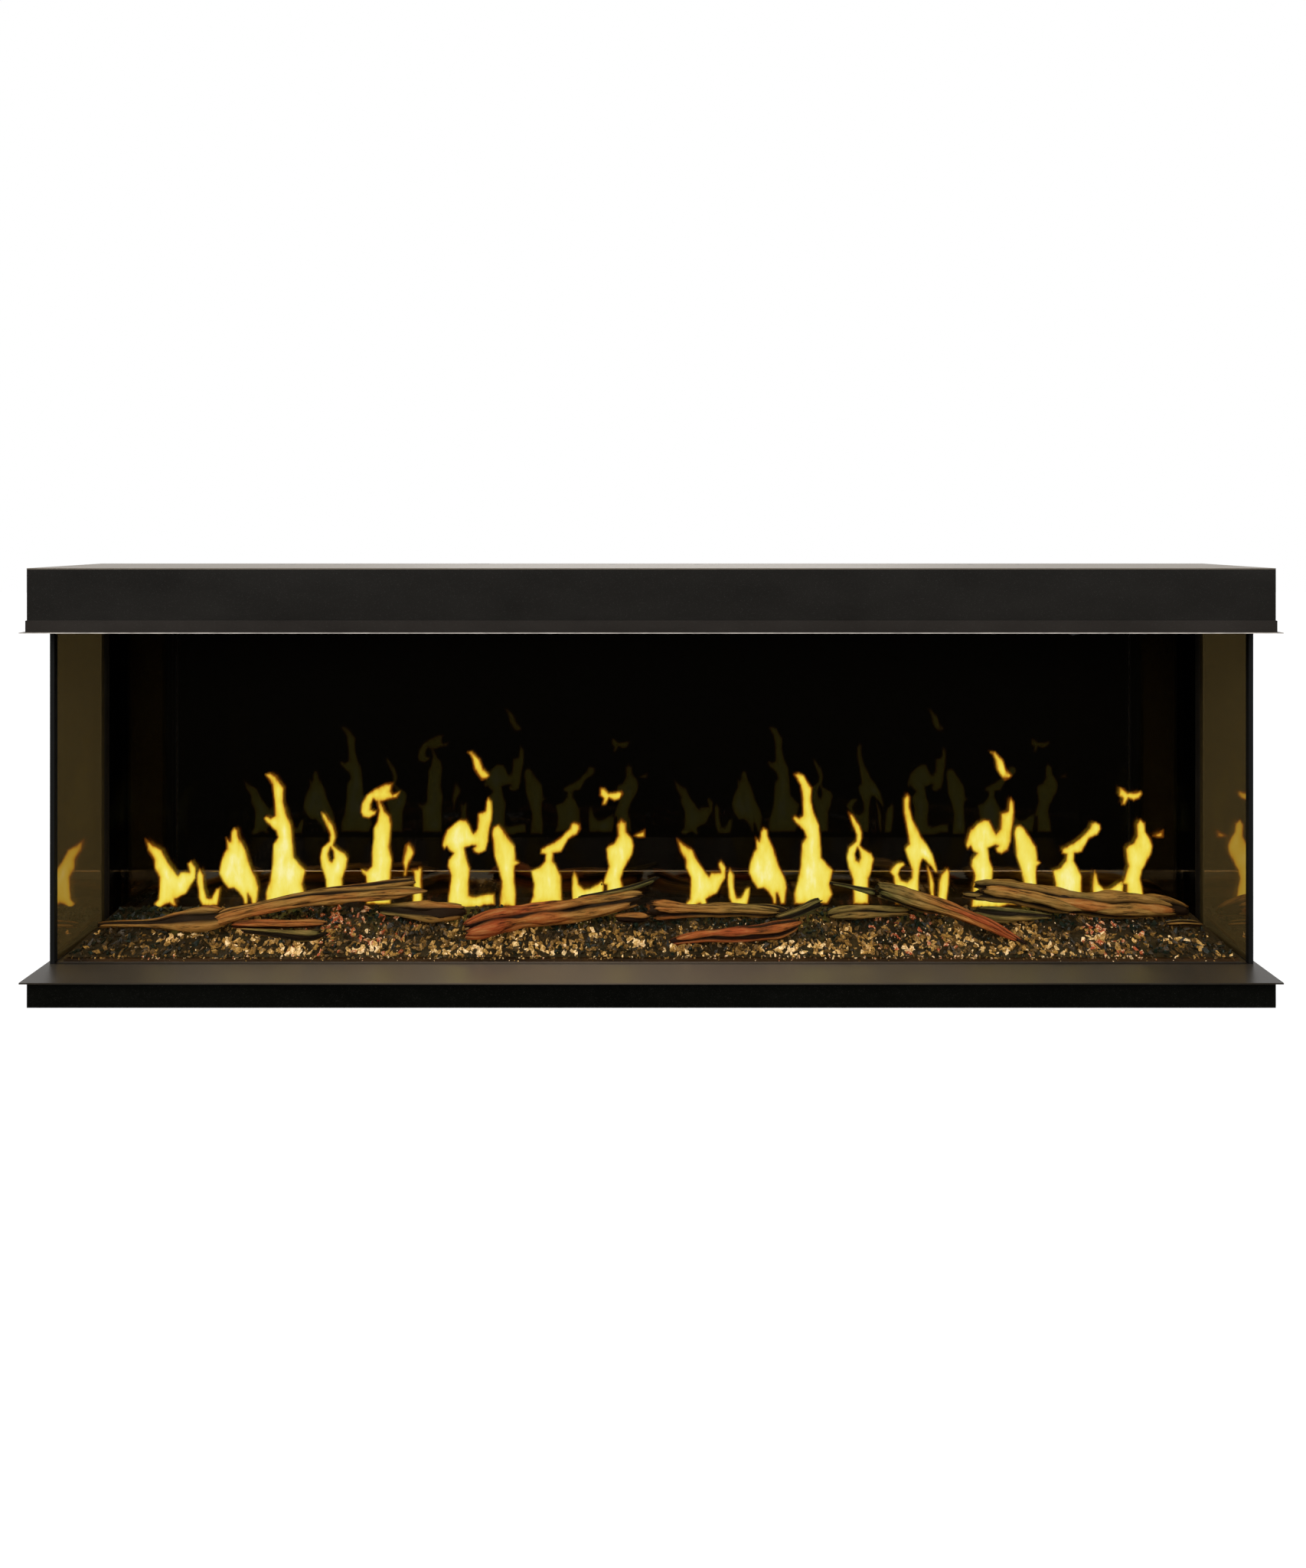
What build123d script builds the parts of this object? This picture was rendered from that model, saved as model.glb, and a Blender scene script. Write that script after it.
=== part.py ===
from build123d import *
import math
import os

# A built-in linear electric fireplace with glass at the front and both ends, in millimetres.
# The front faces -Y and +Z is up. The origin is at the centre of the footprint, on the floor.

# Driving sizes of the whole. The hood's height follows from the blower that it holds
body_width = 1600
body_depth = 340
exposed_depth = 149
rim_reach = 6
base_height = 33
opening_height = 445
steel = 1.5
ledge_steel = 2
gap = 0.3
overrun = 5
hex_sides = 6

# Glazing: the front pane lifts in its upper channel until it clears the ledge
glass = 4
glass_recess = 42
glass_play = 0.5
seal_width = 6
gasket = 1
channel_depth = 12
setting_height = 4
setting_length = 60
setting_count = 4
glass_hold = 6
glass_lift = 9
lift_spare = 3
ledge_inside = 16
ledge_side = 20

# Case
tray_return = 12
cheek_return = 10
hood_return = 12
deck_drop = 12
fixing_radius = 4
fixing_spread_y = 120
fixing_spread_z = 340
stiffener_width = 40
stiffener_depth = 10.5
stiffener_shares = (-0.84, -0.42, 0, 0.42, 0.84)

# Upper flange, an angle round the foot of the hood
flange_steel = 1.2
flange_leg = 16

# Top plate with a lifting slot, its rail and its screws, whose places are shares of the half width
rail_width = 30
rail_height = 10
rail_setback = 111
screw_head_radius = 4
screw_shank_radius = 2
screw_shank_length = 6
screw_shares = (-0.652, -0.633, -0.555, -0.535, -0.069, 0.079, 0.538, 0.56, 0.645)
plate_slot_share = -0.312
plate_slot_length = 32
plate_slot_width = 6
plate_slot_setback = 137

# Firebox: flame screens, low step behind them, gloss rear panel and side liners
screen_setback = 175
rail_depth = 8
step_depth = 73
step_height = 43
liner_inset = 4
liner = 4
fold_radius = 3
support_setback = 20

# Ember bed: a diffuser that rises to the rear, with chips on it
diffuser_wall = 3
bed_rise_front = 3.5
bed_rise_back = 19
bed_margin = 14
slab = 1.5
chip_height = 2.5
chip_length = 15
chip_width = 10
chip_pitch_x = 60
chip_pitch_y = 30
chip_turn = 137.5
chip_tilt_share = 0.18

# Light boards under the diffuser
carrier_width = 64
carrier_height = 8
board = 1.6
board_gap = 13
board_width = 52
board_count = 4
lamp_size = 5
lamp_height = 1.5
lamps_along = 4
lamps_across = 2

# Cross-flow blower in the hood
fan_radius = 25
fan_length = 316
fan_run = 43
fan_rise = 17.5
blade_count = 20
blade_depth = 7
blade_sag = 2.2
blade_thickness = 0.9
blade_flat_share = 0.5
disc = 1.5
bay_count = 2
scroll_gap = 4
blower_room = 2.5
housing_wall = 1.2
housing_play = 5
shaft_radius = 3
shaft_play = 0.05
bush_radius = 6
bush_length = 8
motor_radius = 19
motor_length = 36
motor_flange = 44
motor_boss_radius = 11
motor_boss_length = 8
duct_height = 31
duct_clear = 3
duct_bend = 18
tongue_share = 0.9
outlet_margin = 6
heater_depth = 15
heater_end = 4
heater_fin = 0.8
heater_fin_count = 18
heater_bar = 4
heater_bar_shares = (0.25, 0.75)
grille_lip = 4
grille_bar = 1
grille_bars = 5
grille_ribs = 6
grille_tilt = 30
intake_length = 40
intake_width = 5
intake_pitch_x = 54
intake_pitch_y = 14
intake_along = 5
intake_across = 2
intake_share = 0.45

# Control strip in the underside of the hood
control_share = 0.75
bezel_thickness = 2
bezel_lip = 12
bezel_side_lip = 2.5
window_gap = 8
switch_spacing = 8
button_radius = 4.5
button_count = 4
button_pitch = 18
button_proud = 1.5
button_stem = 4
button_collar_width = 12
button_collar = 1.5
button_travel = 1.2
switch_size = 6
switch_height = 1.5
post_radius = 2.5
strip_end = 5
rocker_length = 17.2
rocker_clear = 1.7
rocker_width = 11
rocker_height = 9
rocker_proud = 2
rocker_tilt = 7
rocker_play = 0.5
pivot_radius = 1.5
pivot_length = 2
switch_wall = 1.5
switch_depth = 22

# Electrical pieces on the ceiling panel and the rear wall
circuit_length = 160
circuit_width = 90
circuit_share = 0.42
standoff_height = 8
standoff_radius = 3
standoff_inset = 6
chip_block = 22
circuit_chip_count_x = 3
circuit_chip_count_y = 2
supply_length = 170
supply_width = 86
supply_height = 42
supply_vent_count = 5
supply_vent_pitch = 20
supply_share = -0.55
driver_length = 300
driver_width = 50
driver_chip_count = 3
driver_share = 0.45
terminal_length = 120
terminal_depth = 60
terminal_height = 50
terminal_share = 0.875
terminal_block_length = 60
terminal_block_width = 20
terminal_block_height = 18
terminal_poles = 3
entry_radius = 9
bushing_wall = 2
bushing_length = 9.5
bushing_lip = 3
bushing_lip_thickness = 2

# Driftwood: each row is one log, and each station gives its place as shares of the half width and of the
# bed's depth, its lift off the bed and its radius as shares of the opening's height
driftwood_shares = {
    "left_twig": (
        ((-0.98, 0.5, 0, 0.0112), (-0.921, 0.54, 0, 0.018),
         (-0.85, 0.63, 0, 0.018), (-0.784, 0.78, 0, 0.0112)),
    ),
    "left_branch": (
        ((-0.812, 0.35, 0, 0.0157), (-0.705, 0.54, 0, 0.0292), (-0.576, 0.63, 0.026, 0.0337),
         (-0.456, 0.71, 0.055, 0.0292), (-0.395, 0.76, 0.081, 0.018)),
    ),
    "short_logs": (
        ((-0.741, 0.25, -0.0028, 0.018), (-0.672, 0.2, -0.0028, 0.027),
         (-0.599, 0.21, -0.0028, 0.0247), (-0.554, 0.3, -0.0028, 0.0157)),
        ((-0.454, 0.69, 0, 0.0225), (-0.396, 0.57, 0, 0.036),
         (-0.335, 0.57, 0, 0.0337), (-0.311, 0.65, 0, 0.0247)),
    ),
    "centre_branch": (
        ((-0.323, 0.3, 0, 0.0292), (-0.258, 0.46, 0, 0.0427), (-0.152, 0.61, 0.027, 0.0449),
         (-0.044, 0.72, 0.063, 0.0382), (0.005, 0.77, 0.096, 0.0225)),
    ),
    "centre_log": (
        ((-0.069, 0.74, 0, 0.025), (0.011, 0.7, 0, 0.038), (0.134, 0.69, 0, 0.038), (0.228, 0.74, 0, 0.025)),
    ),
    "crook": (
        ((0.03, 0.2, 0, 0.0157), (0.116, 0.28, 0, 0.0225), (0.211, 0.38, 0, 0.0247),
         (0.268, 0.55, 0.002, 0.0202), (0.302, 0.64, 0.058, 0.0112)),
    ),
    "right_branch": (
        ((0.315, 0.85, 0.09, 0.009), (0.412, 0.76, 0.078, 0.0225), (0.501, 0.58, 0.03, 0.0315),
         (0.583, 0.37, 0, 0.0315), (0.626, 0.22, 0, 0.0202)),
    ),
    "right_log": (
        ((0.576, 0.86, 0, 0.0202), (0.666, 0.81, 0, 0.0404), (0.789, 0.78, 0, 0.05),
         (0.901, 0.8, 0, 0.0472), (0.975, 0.82, 0, 0.027)),
    ),
    "chunks": (
        ((0.325, 0.75, -0.006, 0.018), (0.385, 0.71, -0.006, 0.025), (0.475, 0.78, -0.006, 0.0157)),
        ((0.579, 0.58, 0, 0.0157), (0.637, 0.53, 0, 0.0225), (0.705, 0.5, 0, 0.018)),
        ((0.894, 0.4, 0, 0.0135), (0.93, 0.36, 0, 0.018), (0.965, 0.4, 0, 0.0112)),
    ),
}
bark_shares = (1, 0.9, 0.97, 0.86, 0.99, 0.92, 0.84, 0.95)

# Levels and planes that follow from the sizes above
on_floor = (Align.CENTER, Align.CENTER, Align.MIN)
half_width = body_width / 2
inner_half = half_width - steel
front_y = rim_reach - (body_depth + rim_reach) / 2
back_y = front_y + body_depth
body_y = (front_y + back_y) / 2
wall_y = front_y + exposed_depth
ledge_top = base_height + ledge_steel
ceiling_bottom = ledge_top + opening_height
ceiling_top = ceiling_bottom + steel
floor_top = base_height + steel

glass_y = front_y + glass_recess
glass_back = glass_y + glass
slot_front = glass_y - glass_play
slot_back = glass_back + glass_play
slot_width = slot_back - slot_front
slot_y = (slot_front + slot_back) / 2
pane_half = half_width - seal_width - gap
slot_half = pane_half + glass_play
glass_bottom = base_height - channel_depth + steel + setting_height
glass_top = ceiling_bottom + glass_hold
slot_top = glass_top + glass_lift + lift_spare
channel_top = slot_top + steel
channel_width = slot_width + 2 * steel

duct_floor = channel_top + duct_clear
duct_top = duct_floor + duct_height
ramp_y = slot_back + steel + duct_clear
fan_y = ramp_y + fan_run
fan_z = duct_floor + fan_rise
fan_half = fan_length / 2
scroll_radius = fan_radius + scroll_gap
total_height = fan_z + scroll_radius + blower_room + rail_height + steel
deck_top = total_height - deck_drop
deck_bottom = deck_top - steel

screen_y = front_y + screen_setback
rail_half = inner_half - steel - cheek_return - gap
screen_rail_width = glass + 2 * gap + 2 * steel
mirror_back = back_y - steel - stiffener_depth
mirror_y = mirror_back - glass
step_y = mirror_y - gap - step_depth
bed_front = slot_back + steel
bed_back = screen_y - screen_rail_width / 2 - glass_play
bed_depth = bed_back - bed_front
bed_half = half_width - bed_margin

os.makedirs("parts", exist_ok=True)
pieces = {}


def three_sides(reach, side, front):
    """Corners of a band round the front and both sides, reaching out past the body and in from it."""
    out_x = half_width + reach
    out_y = front_y - reach
    in_x = half_width - side
    in_y = front_y + front
    left = [(-out_x, wall_y), (-out_x, out_y), (out_x, out_y), (out_x, wall_y)]
    return left + [(in_x, wall_y), (in_x, in_y), (-in_x, in_y), (-in_x, wall_y)]


def bed_top(share):
    """Height of the ember bed's chips at a share of the bed's depth."""
    rise = bed_rise_front + (bed_rise_back - bed_rise_front) * share
    return ledge_top + rise + slab + chip_height


# Base tray, folded with a return round its rim that is notched for the glass channel
with BuildPart(Plane((0, body_y, 0))) as base_tray:
    Box(body_width, body_depth, base_height, align=on_floor)
    with Locations((0, 0, steel)):
        Box(
            2 * inner_half,
            body_depth - 2 * steel,
            base_height - 2 * steel,
            align=on_floor,
            mode=Mode.SUBTRACT,
        )
    with Locations((0, 0, base_height - steel)):
        Box(
            body_width - 2 * tray_return,
            body_depth - 2 * tray_return,
            steel + overrun,
            align=on_floor,
            mode=Mode.SUBTRACT,
        )
    with Locations((0, slot_y - body_y, base_height - steel)):
        Box(2 * inner_half, channel_width + 2 * gap, steel + overrun, align=on_floor, mode=Mode.SUBTRACT)
pieces["base_tray"] = base_tray

# Lower ledge on three sides, slotted for the front pane
with BuildPart() as lower_ledge:
    with BuildSketch(Plane.XY.offset(base_height)):
        Polygon(*three_sides(rim_reach, ledge_side, slot_back - front_y + ledge_inside), align=None)
        with Locations((0, slot_y)):
            Rectangle(2 * slot_half, slot_width, mode=Mode.SUBTRACT)
    extrude(amount=ledge_steel)
pieces["lower_ledge"] = lower_ledge

# Channels that hold the front pane, one under the ledge and a deeper one over the ceiling panel
with BuildPart(Plane((0, slot_y, base_height - channel_depth))) as lower_glass_channel:
    Box(2 * (slot_half + steel), channel_width, channel_depth, align=on_floor)
    with Locations((0, 0, steel)):
        Box(2 * slot_half, slot_width, channel_depth, align=on_floor, mode=Mode.SUBTRACT)
pieces["lower_glass_channel"] = lower_glass_channel

with BuildPart(Plane((0, slot_y, ceiling_top))) as upper_glass_channel:
    Box(2 * (slot_half + steel), channel_width, channel_top - ceiling_top, align=on_floor)
    with Locations((0, 0, -overrun)):
        Box(2 * slot_half, slot_width, slot_top - ceiling_top + overrun, align=on_floor, mode=Mode.SUBTRACT)
pieces["upper_glass_channel"] = upper_glass_channel

# Front pane
with BuildPart(Plane((0, glass_y + glass / 2, glass_bottom))) as front_glass:
    Box(2 * pane_half, glass, glass_top - glass_bottom, align=on_floor)
pieces["front_glass"] = front_glass

# Side panes on gaskets, butted to the front pane at the corner seals
side_length = wall_y - glass_y - seal_width
side_y = wall_y - side_length / 2
side_height = opening_height - 2 * gasket
for side, name in ((-1, "left"), (1, "right")):
    with BuildPart(Plane((side * (half_width - glass / 2), side_y, ledge_top + gasket))) as side_glass:
        Box(glass, side_length, side_height, align=on_floor)
    pieces[f"{name}_glass"] = side_glass

# Rubber round the glass: corner seals, side gaskets, and blocks that the front pane stands on
with BuildPart() as glass_seals:
    with BuildSketch(Plane((0, glass_y + seal_width / 2, ledge_top))):
        with GridLocations(body_width - seal_width, 0, 2, 1):
            Rectangle(seal_width, seal_width)
    extrude(amount=opening_height)
    for gasket_z in (ledge_top, ceiling_bottom - gasket):
        with BuildSketch(Plane((0, side_y, gasket_z))):
            with GridLocations(body_width - glass, 0, 2, 1):
                Rectangle(glass, side_length)
        extrude(amount=gasket)
    with BuildSketch(Plane((0, slot_y, base_height - channel_depth + steel))):
        with GridLocations(2 * pane_half / setting_count, 0, setting_count, 1):
            Rectangle(setting_length, glass)
    extrude(amount=setting_height)
pieces["glass_seals"] = glass_seals

# Hood wrap, its flange and the bare top plate with a rail under it
with BuildPart() as hood:
    with BuildSketch(Plane.XY.offset(ceiling_bottom)):
        Polygon(*three_sides(0, steel, steel), align=None)
    extrude(amount=total_height - steel - ceiling_bottom)
    with BuildSketch(Plane.XY.offset(total_height - 2 * steel)):
        Polygon(*three_sides(0, hood_return, hood_return), align=None)
    extrude(amount=steel)
pieces["hood"] = hood

with BuildPart() as upper_flange:
    with BuildSketch(Plane.XY.offset(ceiling_bottom)):
        Polygon(*three_sides(rim_reach, 0, 0), align=None)
    extrude(amount=flange_steel)
    with BuildSketch(Plane.XY.offset(ceiling_bottom)):
        Polygon(*three_sides(flange_steel, 0, 0), align=None)
    extrude(amount=flange_leg)
pieces["upper_flange"] = upper_flange

rail_y = front_y + rail_setback
screw_places = [(share * half_width, rail_y) for share in screw_shares]
with BuildPart(Plane.XY.offset(total_height - steel)) as top_plate:
    with Locations((0, front_y + exposed_depth / 2, 0)):
        Box(body_width, exposed_depth, steel, align=on_floor)
    with BuildSketch(Plane.XY.offset(total_height - steel)):
        with Locations(*screw_places):
            RegularPolygon(screw_head_radius + gap, hex_sides)
        with Locations((plate_slot_share * half_width, front_y + plate_slot_setback)):
            Rectangle(plate_slot_length, plate_slot_width)
    extrude(amount=steel, mode=Mode.SUBTRACT)
pieces["top_plate"] = top_plate

with BuildPart(Plane((0, rail_y, total_height - steel - rail_height))) as top_rail:
    Box(2 * (inner_half - hood_return), rail_width, rail_height, align=on_floor)
    Box(
        2 * (inner_half - hood_return),
        rail_width - 2 * steel,
        rail_height - steel,
        align=on_floor,
        mode=Mode.SUBTRACT,
    )
    with BuildSketch(Plane.XY.offset(total_height - steel - rail_height)):
        with Locations(*screw_places):
            RegularPolygon(screw_shank_radius + gap, hex_sides)
    extrude(amount=rail_height, mode=Mode.SUBTRACT)
pieces["top_rail"] = top_rail

with BuildPart() as top_screws:
    with BuildSketch(Plane.XY.offset(total_height - steel)):
        with Locations(*screw_places):
            RegularPolygon(screw_head_radius, hex_sides)
    extrude(amount=steel)
    with BuildSketch(Plane.XY.offset(total_height - steel - screw_shank_length)):
        with Locations(*screw_places):
            RegularPolygon(screw_shank_radius, hex_sides)
    extrude(amount=screw_shank_length)
pieces["top_screws"] = top_screws

# Rear deck, a step lower than the top plate, with an upturn under the plate's rear edge
with BuildPart() as rear_deck:
    with BuildSketch(Plane.YZ.offset(-inner_half)):
        Polygon(
            (wall_y - steel, deck_bottom),
            (back_y - steel, deck_bottom),
            (back_y - steel, deck_top),
            (wall_y - steel, deck_top),
            align=None,
        )
    extrude(amount=2 * inner_half)
    with BuildSketch(Plane((0, wall_y - steel / 2, deck_top))):
        Rectangle(2 * (half_width - hood_return), steel)
    extrude(amount=total_height - steel - deck_top)
pieces["rear_deck"] = rear_deck

# Side panels behind the panes, with holes for screws into the wall's studs
cheek_depth = back_y - wall_y
cheek_mid_y = (wall_y + back_y) / 2
cheek_mid_z = (base_height + ceiling_bottom) / 2
for side, name in ((-1, "left"), (1, "right")):
    with BuildPart(Plane((side * half_width, wall_y, base_height))) as cheek:
        outer = (Align.MIN if side < 0 else Align.MAX, Align.MIN, Align.MIN)
        Box(steel, cheek_depth, deck_top - base_height, align=outer)
        Box(cheek_return, steel, ceiling_bottom - base_height, align=outer)
        Box(steel + cheek_return, cheek_depth - steel, steel, align=outer)
        with BuildSketch(Plane.YZ.offset(side * half_width)):
            with Locations((cheek_mid_y, cheek_mid_z)):
                with GridLocations(fixing_spread_y, fixing_spread_z, 2, 2):
                    Circle(fixing_radius)
        extrude(amount=overrun, both=True, mode=Mode.SUBTRACT)
    pieces[f"{name}_cheek"] = cheek

# Rear panel with the cable entry, and stiffeners between it and the gloss panel
entry_x = terminal_share * half_width
entry_z = ceiling_top + terminal_height / 2
entry_hole_radius = entry_radius + bushing_wall
with BuildPart(Plane((0, back_y, base_height))) as rear_panel:
    Box(2 * inner_half, steel, deck_top - base_height, align=(Align.CENTER, Align.MAX, Align.MIN))
    with BuildSketch(Plane.XZ.offset(-back_y)):
        with Locations((entry_x, entry_z)):
            Circle(entry_hole_radius)
    extrude(amount=overrun, both=True, mode=Mode.SUBTRACT)
pieces["rear_panel"] = rear_panel

with BuildPart(Plane((0, mirror_back, floor_top))) as rear_stiffeners:
    with Locations(*[(share * half_width, 0, 0) for share in stiffener_shares]):
        Box(
            stiffener_width,
            stiffener_depth,
            ceiling_bottom - floor_top - gap,
            align=(Align.CENTER, Align.MIN, Align.MIN),
        )
        with Locations((0, steel, 0)):
            Box(
                stiffener_width - 2 * steel,
                stiffener_depth,
                ceiling_bottom - floor_top,
                align=(Align.CENTER, Align.MIN, Align.MIN),
                mode=Mode.SUBTRACT,
            )
pieces["rear_stiffeners"] = rear_stiffeners

# Ceiling panel: slot for the front pane, warm-air outlet, intake slots and the control window
housing_half = fan_half + housing_play + housing_wall
outlet_front = front_y + steel + outlet_margin
outlet_back = slot_front - steel - duct_clear
outlet_y = (outlet_front + outlet_back) / 2
outlet_width = outlet_back - outlet_front - housing_wall
outlet_length = 2 * (housing_half - housing_wall)
control_x = control_share * half_width
strip_length = button_count * button_pitch + 2 * strip_end
rocker_window = rocker_length + 2 * rocker_clear
housing_length = rocker_window + 2 * switch_wall
housing_width = rocker_width + 2 * rocker_play + 2 * switch_wall
window_length = housing_length + strip_length + switch_spacing + 2 * window_gap
window_width = housing_width + window_gap
with BuildPart() as ceiling_panel:
    with BuildSketch(Plane.XY.offset(ceiling_bottom)):
        with Locations((0, body_y)):
            Rectangle(2 * inner_half, body_depth - 2 * steel)
        with Locations((0, slot_y)):
            Rectangle(2 * slot_half, slot_width, mode=Mode.SUBTRACT)
        with Locations((0, outlet_y)):
            Rectangle(outlet_length, outlet_width, mode=Mode.SUBTRACT)
        with Locations((-intake_share * half_width, outlet_y), (intake_share * half_width, outlet_y)):
            with GridLocations(intake_pitch_x, intake_pitch_y, intake_along, intake_across):
                Rectangle(intake_length, intake_width, mode=Mode.SUBTRACT)
        with Locations((control_x, outlet_y)):
            Rectangle(window_length, window_width, mode=Mode.SUBTRACT)
    extrude(amount=steel)
pieces["ceiling_panel"] = ceiling_panel

# Outlet grille with slanted bars
with BuildPart() as outlet_grille:
    with BuildSketch(Plane.XY.offset(ceiling_bottom - steel)):
        with Locations((0, outlet_y)):
            Rectangle(outlet_length + 2 * grille_lip, outlet_width + grille_lip)
            Rectangle(outlet_length - 2 * steel, outlet_width - 2 * steel, mode=Mode.SUBTRACT)
    extrude(amount=steel)
    with BuildSketch(Plane.XY.offset(ceiling_bottom)):
        with Locations((0, outlet_y)):
            Rectangle(outlet_length - 2 * gap, outlet_width - 2 * gap)
            Rectangle(outlet_length - 2 * steel, outlet_width - 2 * steel, mode=Mode.SUBTRACT)
    extrude(amount=steel)
    with BuildSketch(Plane.YZ.offset(-outlet_length / 2 + steel)):
        with Locations((outlet_y, ceiling_bottom)):
            with GridLocations(outlet_width / (grille_bars + 1), 0, grille_bars, 1):
                Rectangle(grille_bar, 2 * steel, rotation=grille_tilt)
    extrude(amount=outlet_length - 2 * steel)
    with BuildSketch(Plane.XY.offset(ceiling_bottom)):
        with Locations((0, outlet_y)):
            with GridLocations(outlet_length / (grille_ribs + 1), 0, grille_ribs, 1):
                Rectangle(grille_bar, outlet_width - 2 * steel)
    extrude(amount=steel)
pieces["outlet_grille"] = outlet_grille

# Floor panel behind the ember bed, with a leg down to the tray
with BuildPart() as floor_panel:
    with BuildSketch(Plane.YZ.offset(-rail_half)):
        Polygon(
            (screen_y - support_setback, steel),
            (screen_y - support_setback + steel, steel),
            (screen_y - support_setback + steel, base_height),
            (back_y - steel, base_height),
            (back_y - steel, floor_top),
            (screen_y - support_setback, floor_top),
            align=None,
        )
    extrude(amount=2 * rail_half)
pieces["floor_panel"] = floor_panel

# Flame screens, two clear display panels side by side in rails
screen_bottom = floor_top + steel
screen_height = ceiling_bottom - steel - gap - screen_bottom
screen_width = rail_half - gap
rail_mid_z = (floor_top + ceiling_bottom) / 2
with BuildPart(Plane((0, screen_y, rail_mid_z))) as screen_rails:
    Box(2 * rail_half, screen_rail_width, ceiling_bottom - floor_top)
    Box(2 * rail_half, screen_rail_width, ceiling_bottom - floor_top - 2 * rail_depth, mode=Mode.SUBTRACT)
    Box(2 * rail_half, glass + 2 * gap, ceiling_bottom - floor_top - 2 * steel, mode=Mode.SUBTRACT)
pieces["screen_rails"] = screen_rails

for side, name in ((-1, "left"), (1, "right")):
    with BuildPart(Plane((side * rail_half / 2, screen_y, screen_bottom))) as flame_screen:
        Box(screen_width, glass, screen_height, align=on_floor)
    pieces[f"{name}_flame_screen"] = flame_screen

# Low step behind the screens, a cover over the driver boards
with BuildPart(Plane((0, step_y + step_depth / 2, floor_top))) as driver_cover:
    Box(2 * rail_half, step_depth, step_height, align=on_floor)
    fillet(driver_cover.edges().filter_by(Axis.X).group_by(Axis.Z)[-1].sort_by(Axis.Y)[0], radius=fold_radius)
    Box(
        2 * (rail_half - steel),
        step_depth - 2 * steel,
        step_height - steel,
        align=on_floor,
        mode=Mode.SUBTRACT,
    )
pieces["driver_cover"] = driver_cover

with BuildPart() as driver_boards:
    for side in (-1, 1):
        board_x = side * driver_share * half_width
        board_y = step_y + step_depth / 2
        with BuildSketch(Plane((board_x, board_y, floor_top + standoff_height))):
            Rectangle(driver_length, driver_width)
        extrude(amount=board)
        with BuildSketch(Plane((board_x, board_y, floor_top))):
            with GridLocations(driver_length - 2 * standoff_inset, driver_width - 2 * standoff_inset, 2, 2):
                RegularPolygon(standoff_radius, hex_sides)
        extrude(amount=standoff_height)
        with BuildSketch(Plane((board_x, board_y, floor_top + standoff_height + board))):
            with GridLocations(driver_length / driver_chip_count, 0, driver_chip_count, 1):
                Rectangle(chip_block, chip_block)
        extrude(amount=2 * board)
pieces["driver_boards"] = driver_boards

# Gloss rear panel and side liners
with BuildPart(Plane((0, mirror_y + glass / 2, floor_top))) as gloss_panel:
    Box(2 * rail_half, glass, ceiling_bottom - floor_top - gap, align=on_floor)
pieces["gloss_panel"] = gloss_panel

liner_depth = mirror_back - wall_y - steel
liner_y = wall_y + steel + liner_depth / 2
with BuildPart(Plane((0, liner_y, floor_top))) as side_liners:
    with GridLocations(body_width - 2 * liner_inset - liner, 0, 2, 1):
        Box(liner, liner_depth, ceiling_bottom - floor_top - gap, align=on_floor)
pieces["side_liners"] = side_liners

# Diffuser that carries the ember bed and glows from below
bed_front_top = ledge_top + bed_rise_front
bed_back_top = ledge_top + bed_rise_back
with BuildPart() as ember_diffuser:
    with BuildSketch(Plane.YZ.offset(-bed_half)):
        Polygon(
            (bed_front, ledge_top),
            (bed_front + diffuser_wall, ledge_top),
            (bed_back - diffuser_wall, bed_back_top - diffuser_wall),
            (bed_back - diffuser_wall, floor_top),
            (bed_back, floor_top),
            (bed_back, bed_back_top),
            (bed_front, bed_front_top),
            align=None,
        )
    extrude(amount=2 * bed_half)
pieces["ember_diffuser"] = ember_diffuser

# Ember bed: a thin layer with chips turned by the golden angle on the slope
bed_slope = math.atan2(bed_back_top - bed_front_top, bed_depth)
bed_run = bed_depth / math.cos(bed_slope)
slope_normal = (0, -math.sin(bed_slope), math.cos(bed_slope))
bed_plane = Plane(
    origin=(0, (bed_front + bed_back) / 2, (bed_front_top + bed_back_top) / 2),
    x_dir=(1, 0, 0),
    z_dir=slope_normal,
)
chips_along = math.floor(2 * bed_half / chip_pitch_x)
chips_across = math.floor(bed_run / chip_pitch_y)
with BuildPart() as ember_bed:
    with BuildSketch(bed_plane):
        Rectangle(2 * bed_half, bed_run)
    extrude(amount=slab)
    with BuildSketch(bed_plane.offset(slab)):
        for row in range(chips_across):
            for column in range(chips_along):
                turn = chip_turn * (column * chips_across + row)
                stagger = (row % 2) * chip_pitch_x / 2
                chip_x = (column - chips_along / 2 + 1 / 4) * chip_pitch_x + stagger
                chip_y = (row - (chips_across - 1) / 2) * chip_pitch_y
                with Locations(Location((chip_x, chip_y), turn)):
                    Trapezoid(chip_length, chip_width, 90 * (1 - chip_tilt_share))
    extrude(amount=chip_height)
pieces["ember_bed"] = ember_bed

# Light boards on a carrier along the tray
board_mid_y = (bed_front + screen_y - support_setback) / 2
board_pitch = 2 * bed_half / board_count
board_length = board_pitch - board_gap
lamp_pitch_x = board_length / lamps_along
lamp_pitch_y = board_width / lamps_across
with BuildPart(Plane((0, board_mid_y, steel))) as light_carrier:
    Box(2 * bed_half, carrier_width, carrier_height, align=on_floor)
    Box(2 * bed_half, carrier_width - 2 * steel, carrier_height - steel, align=on_floor, mode=Mode.SUBTRACT)
pieces["light_carrier"] = light_carrier

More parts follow.
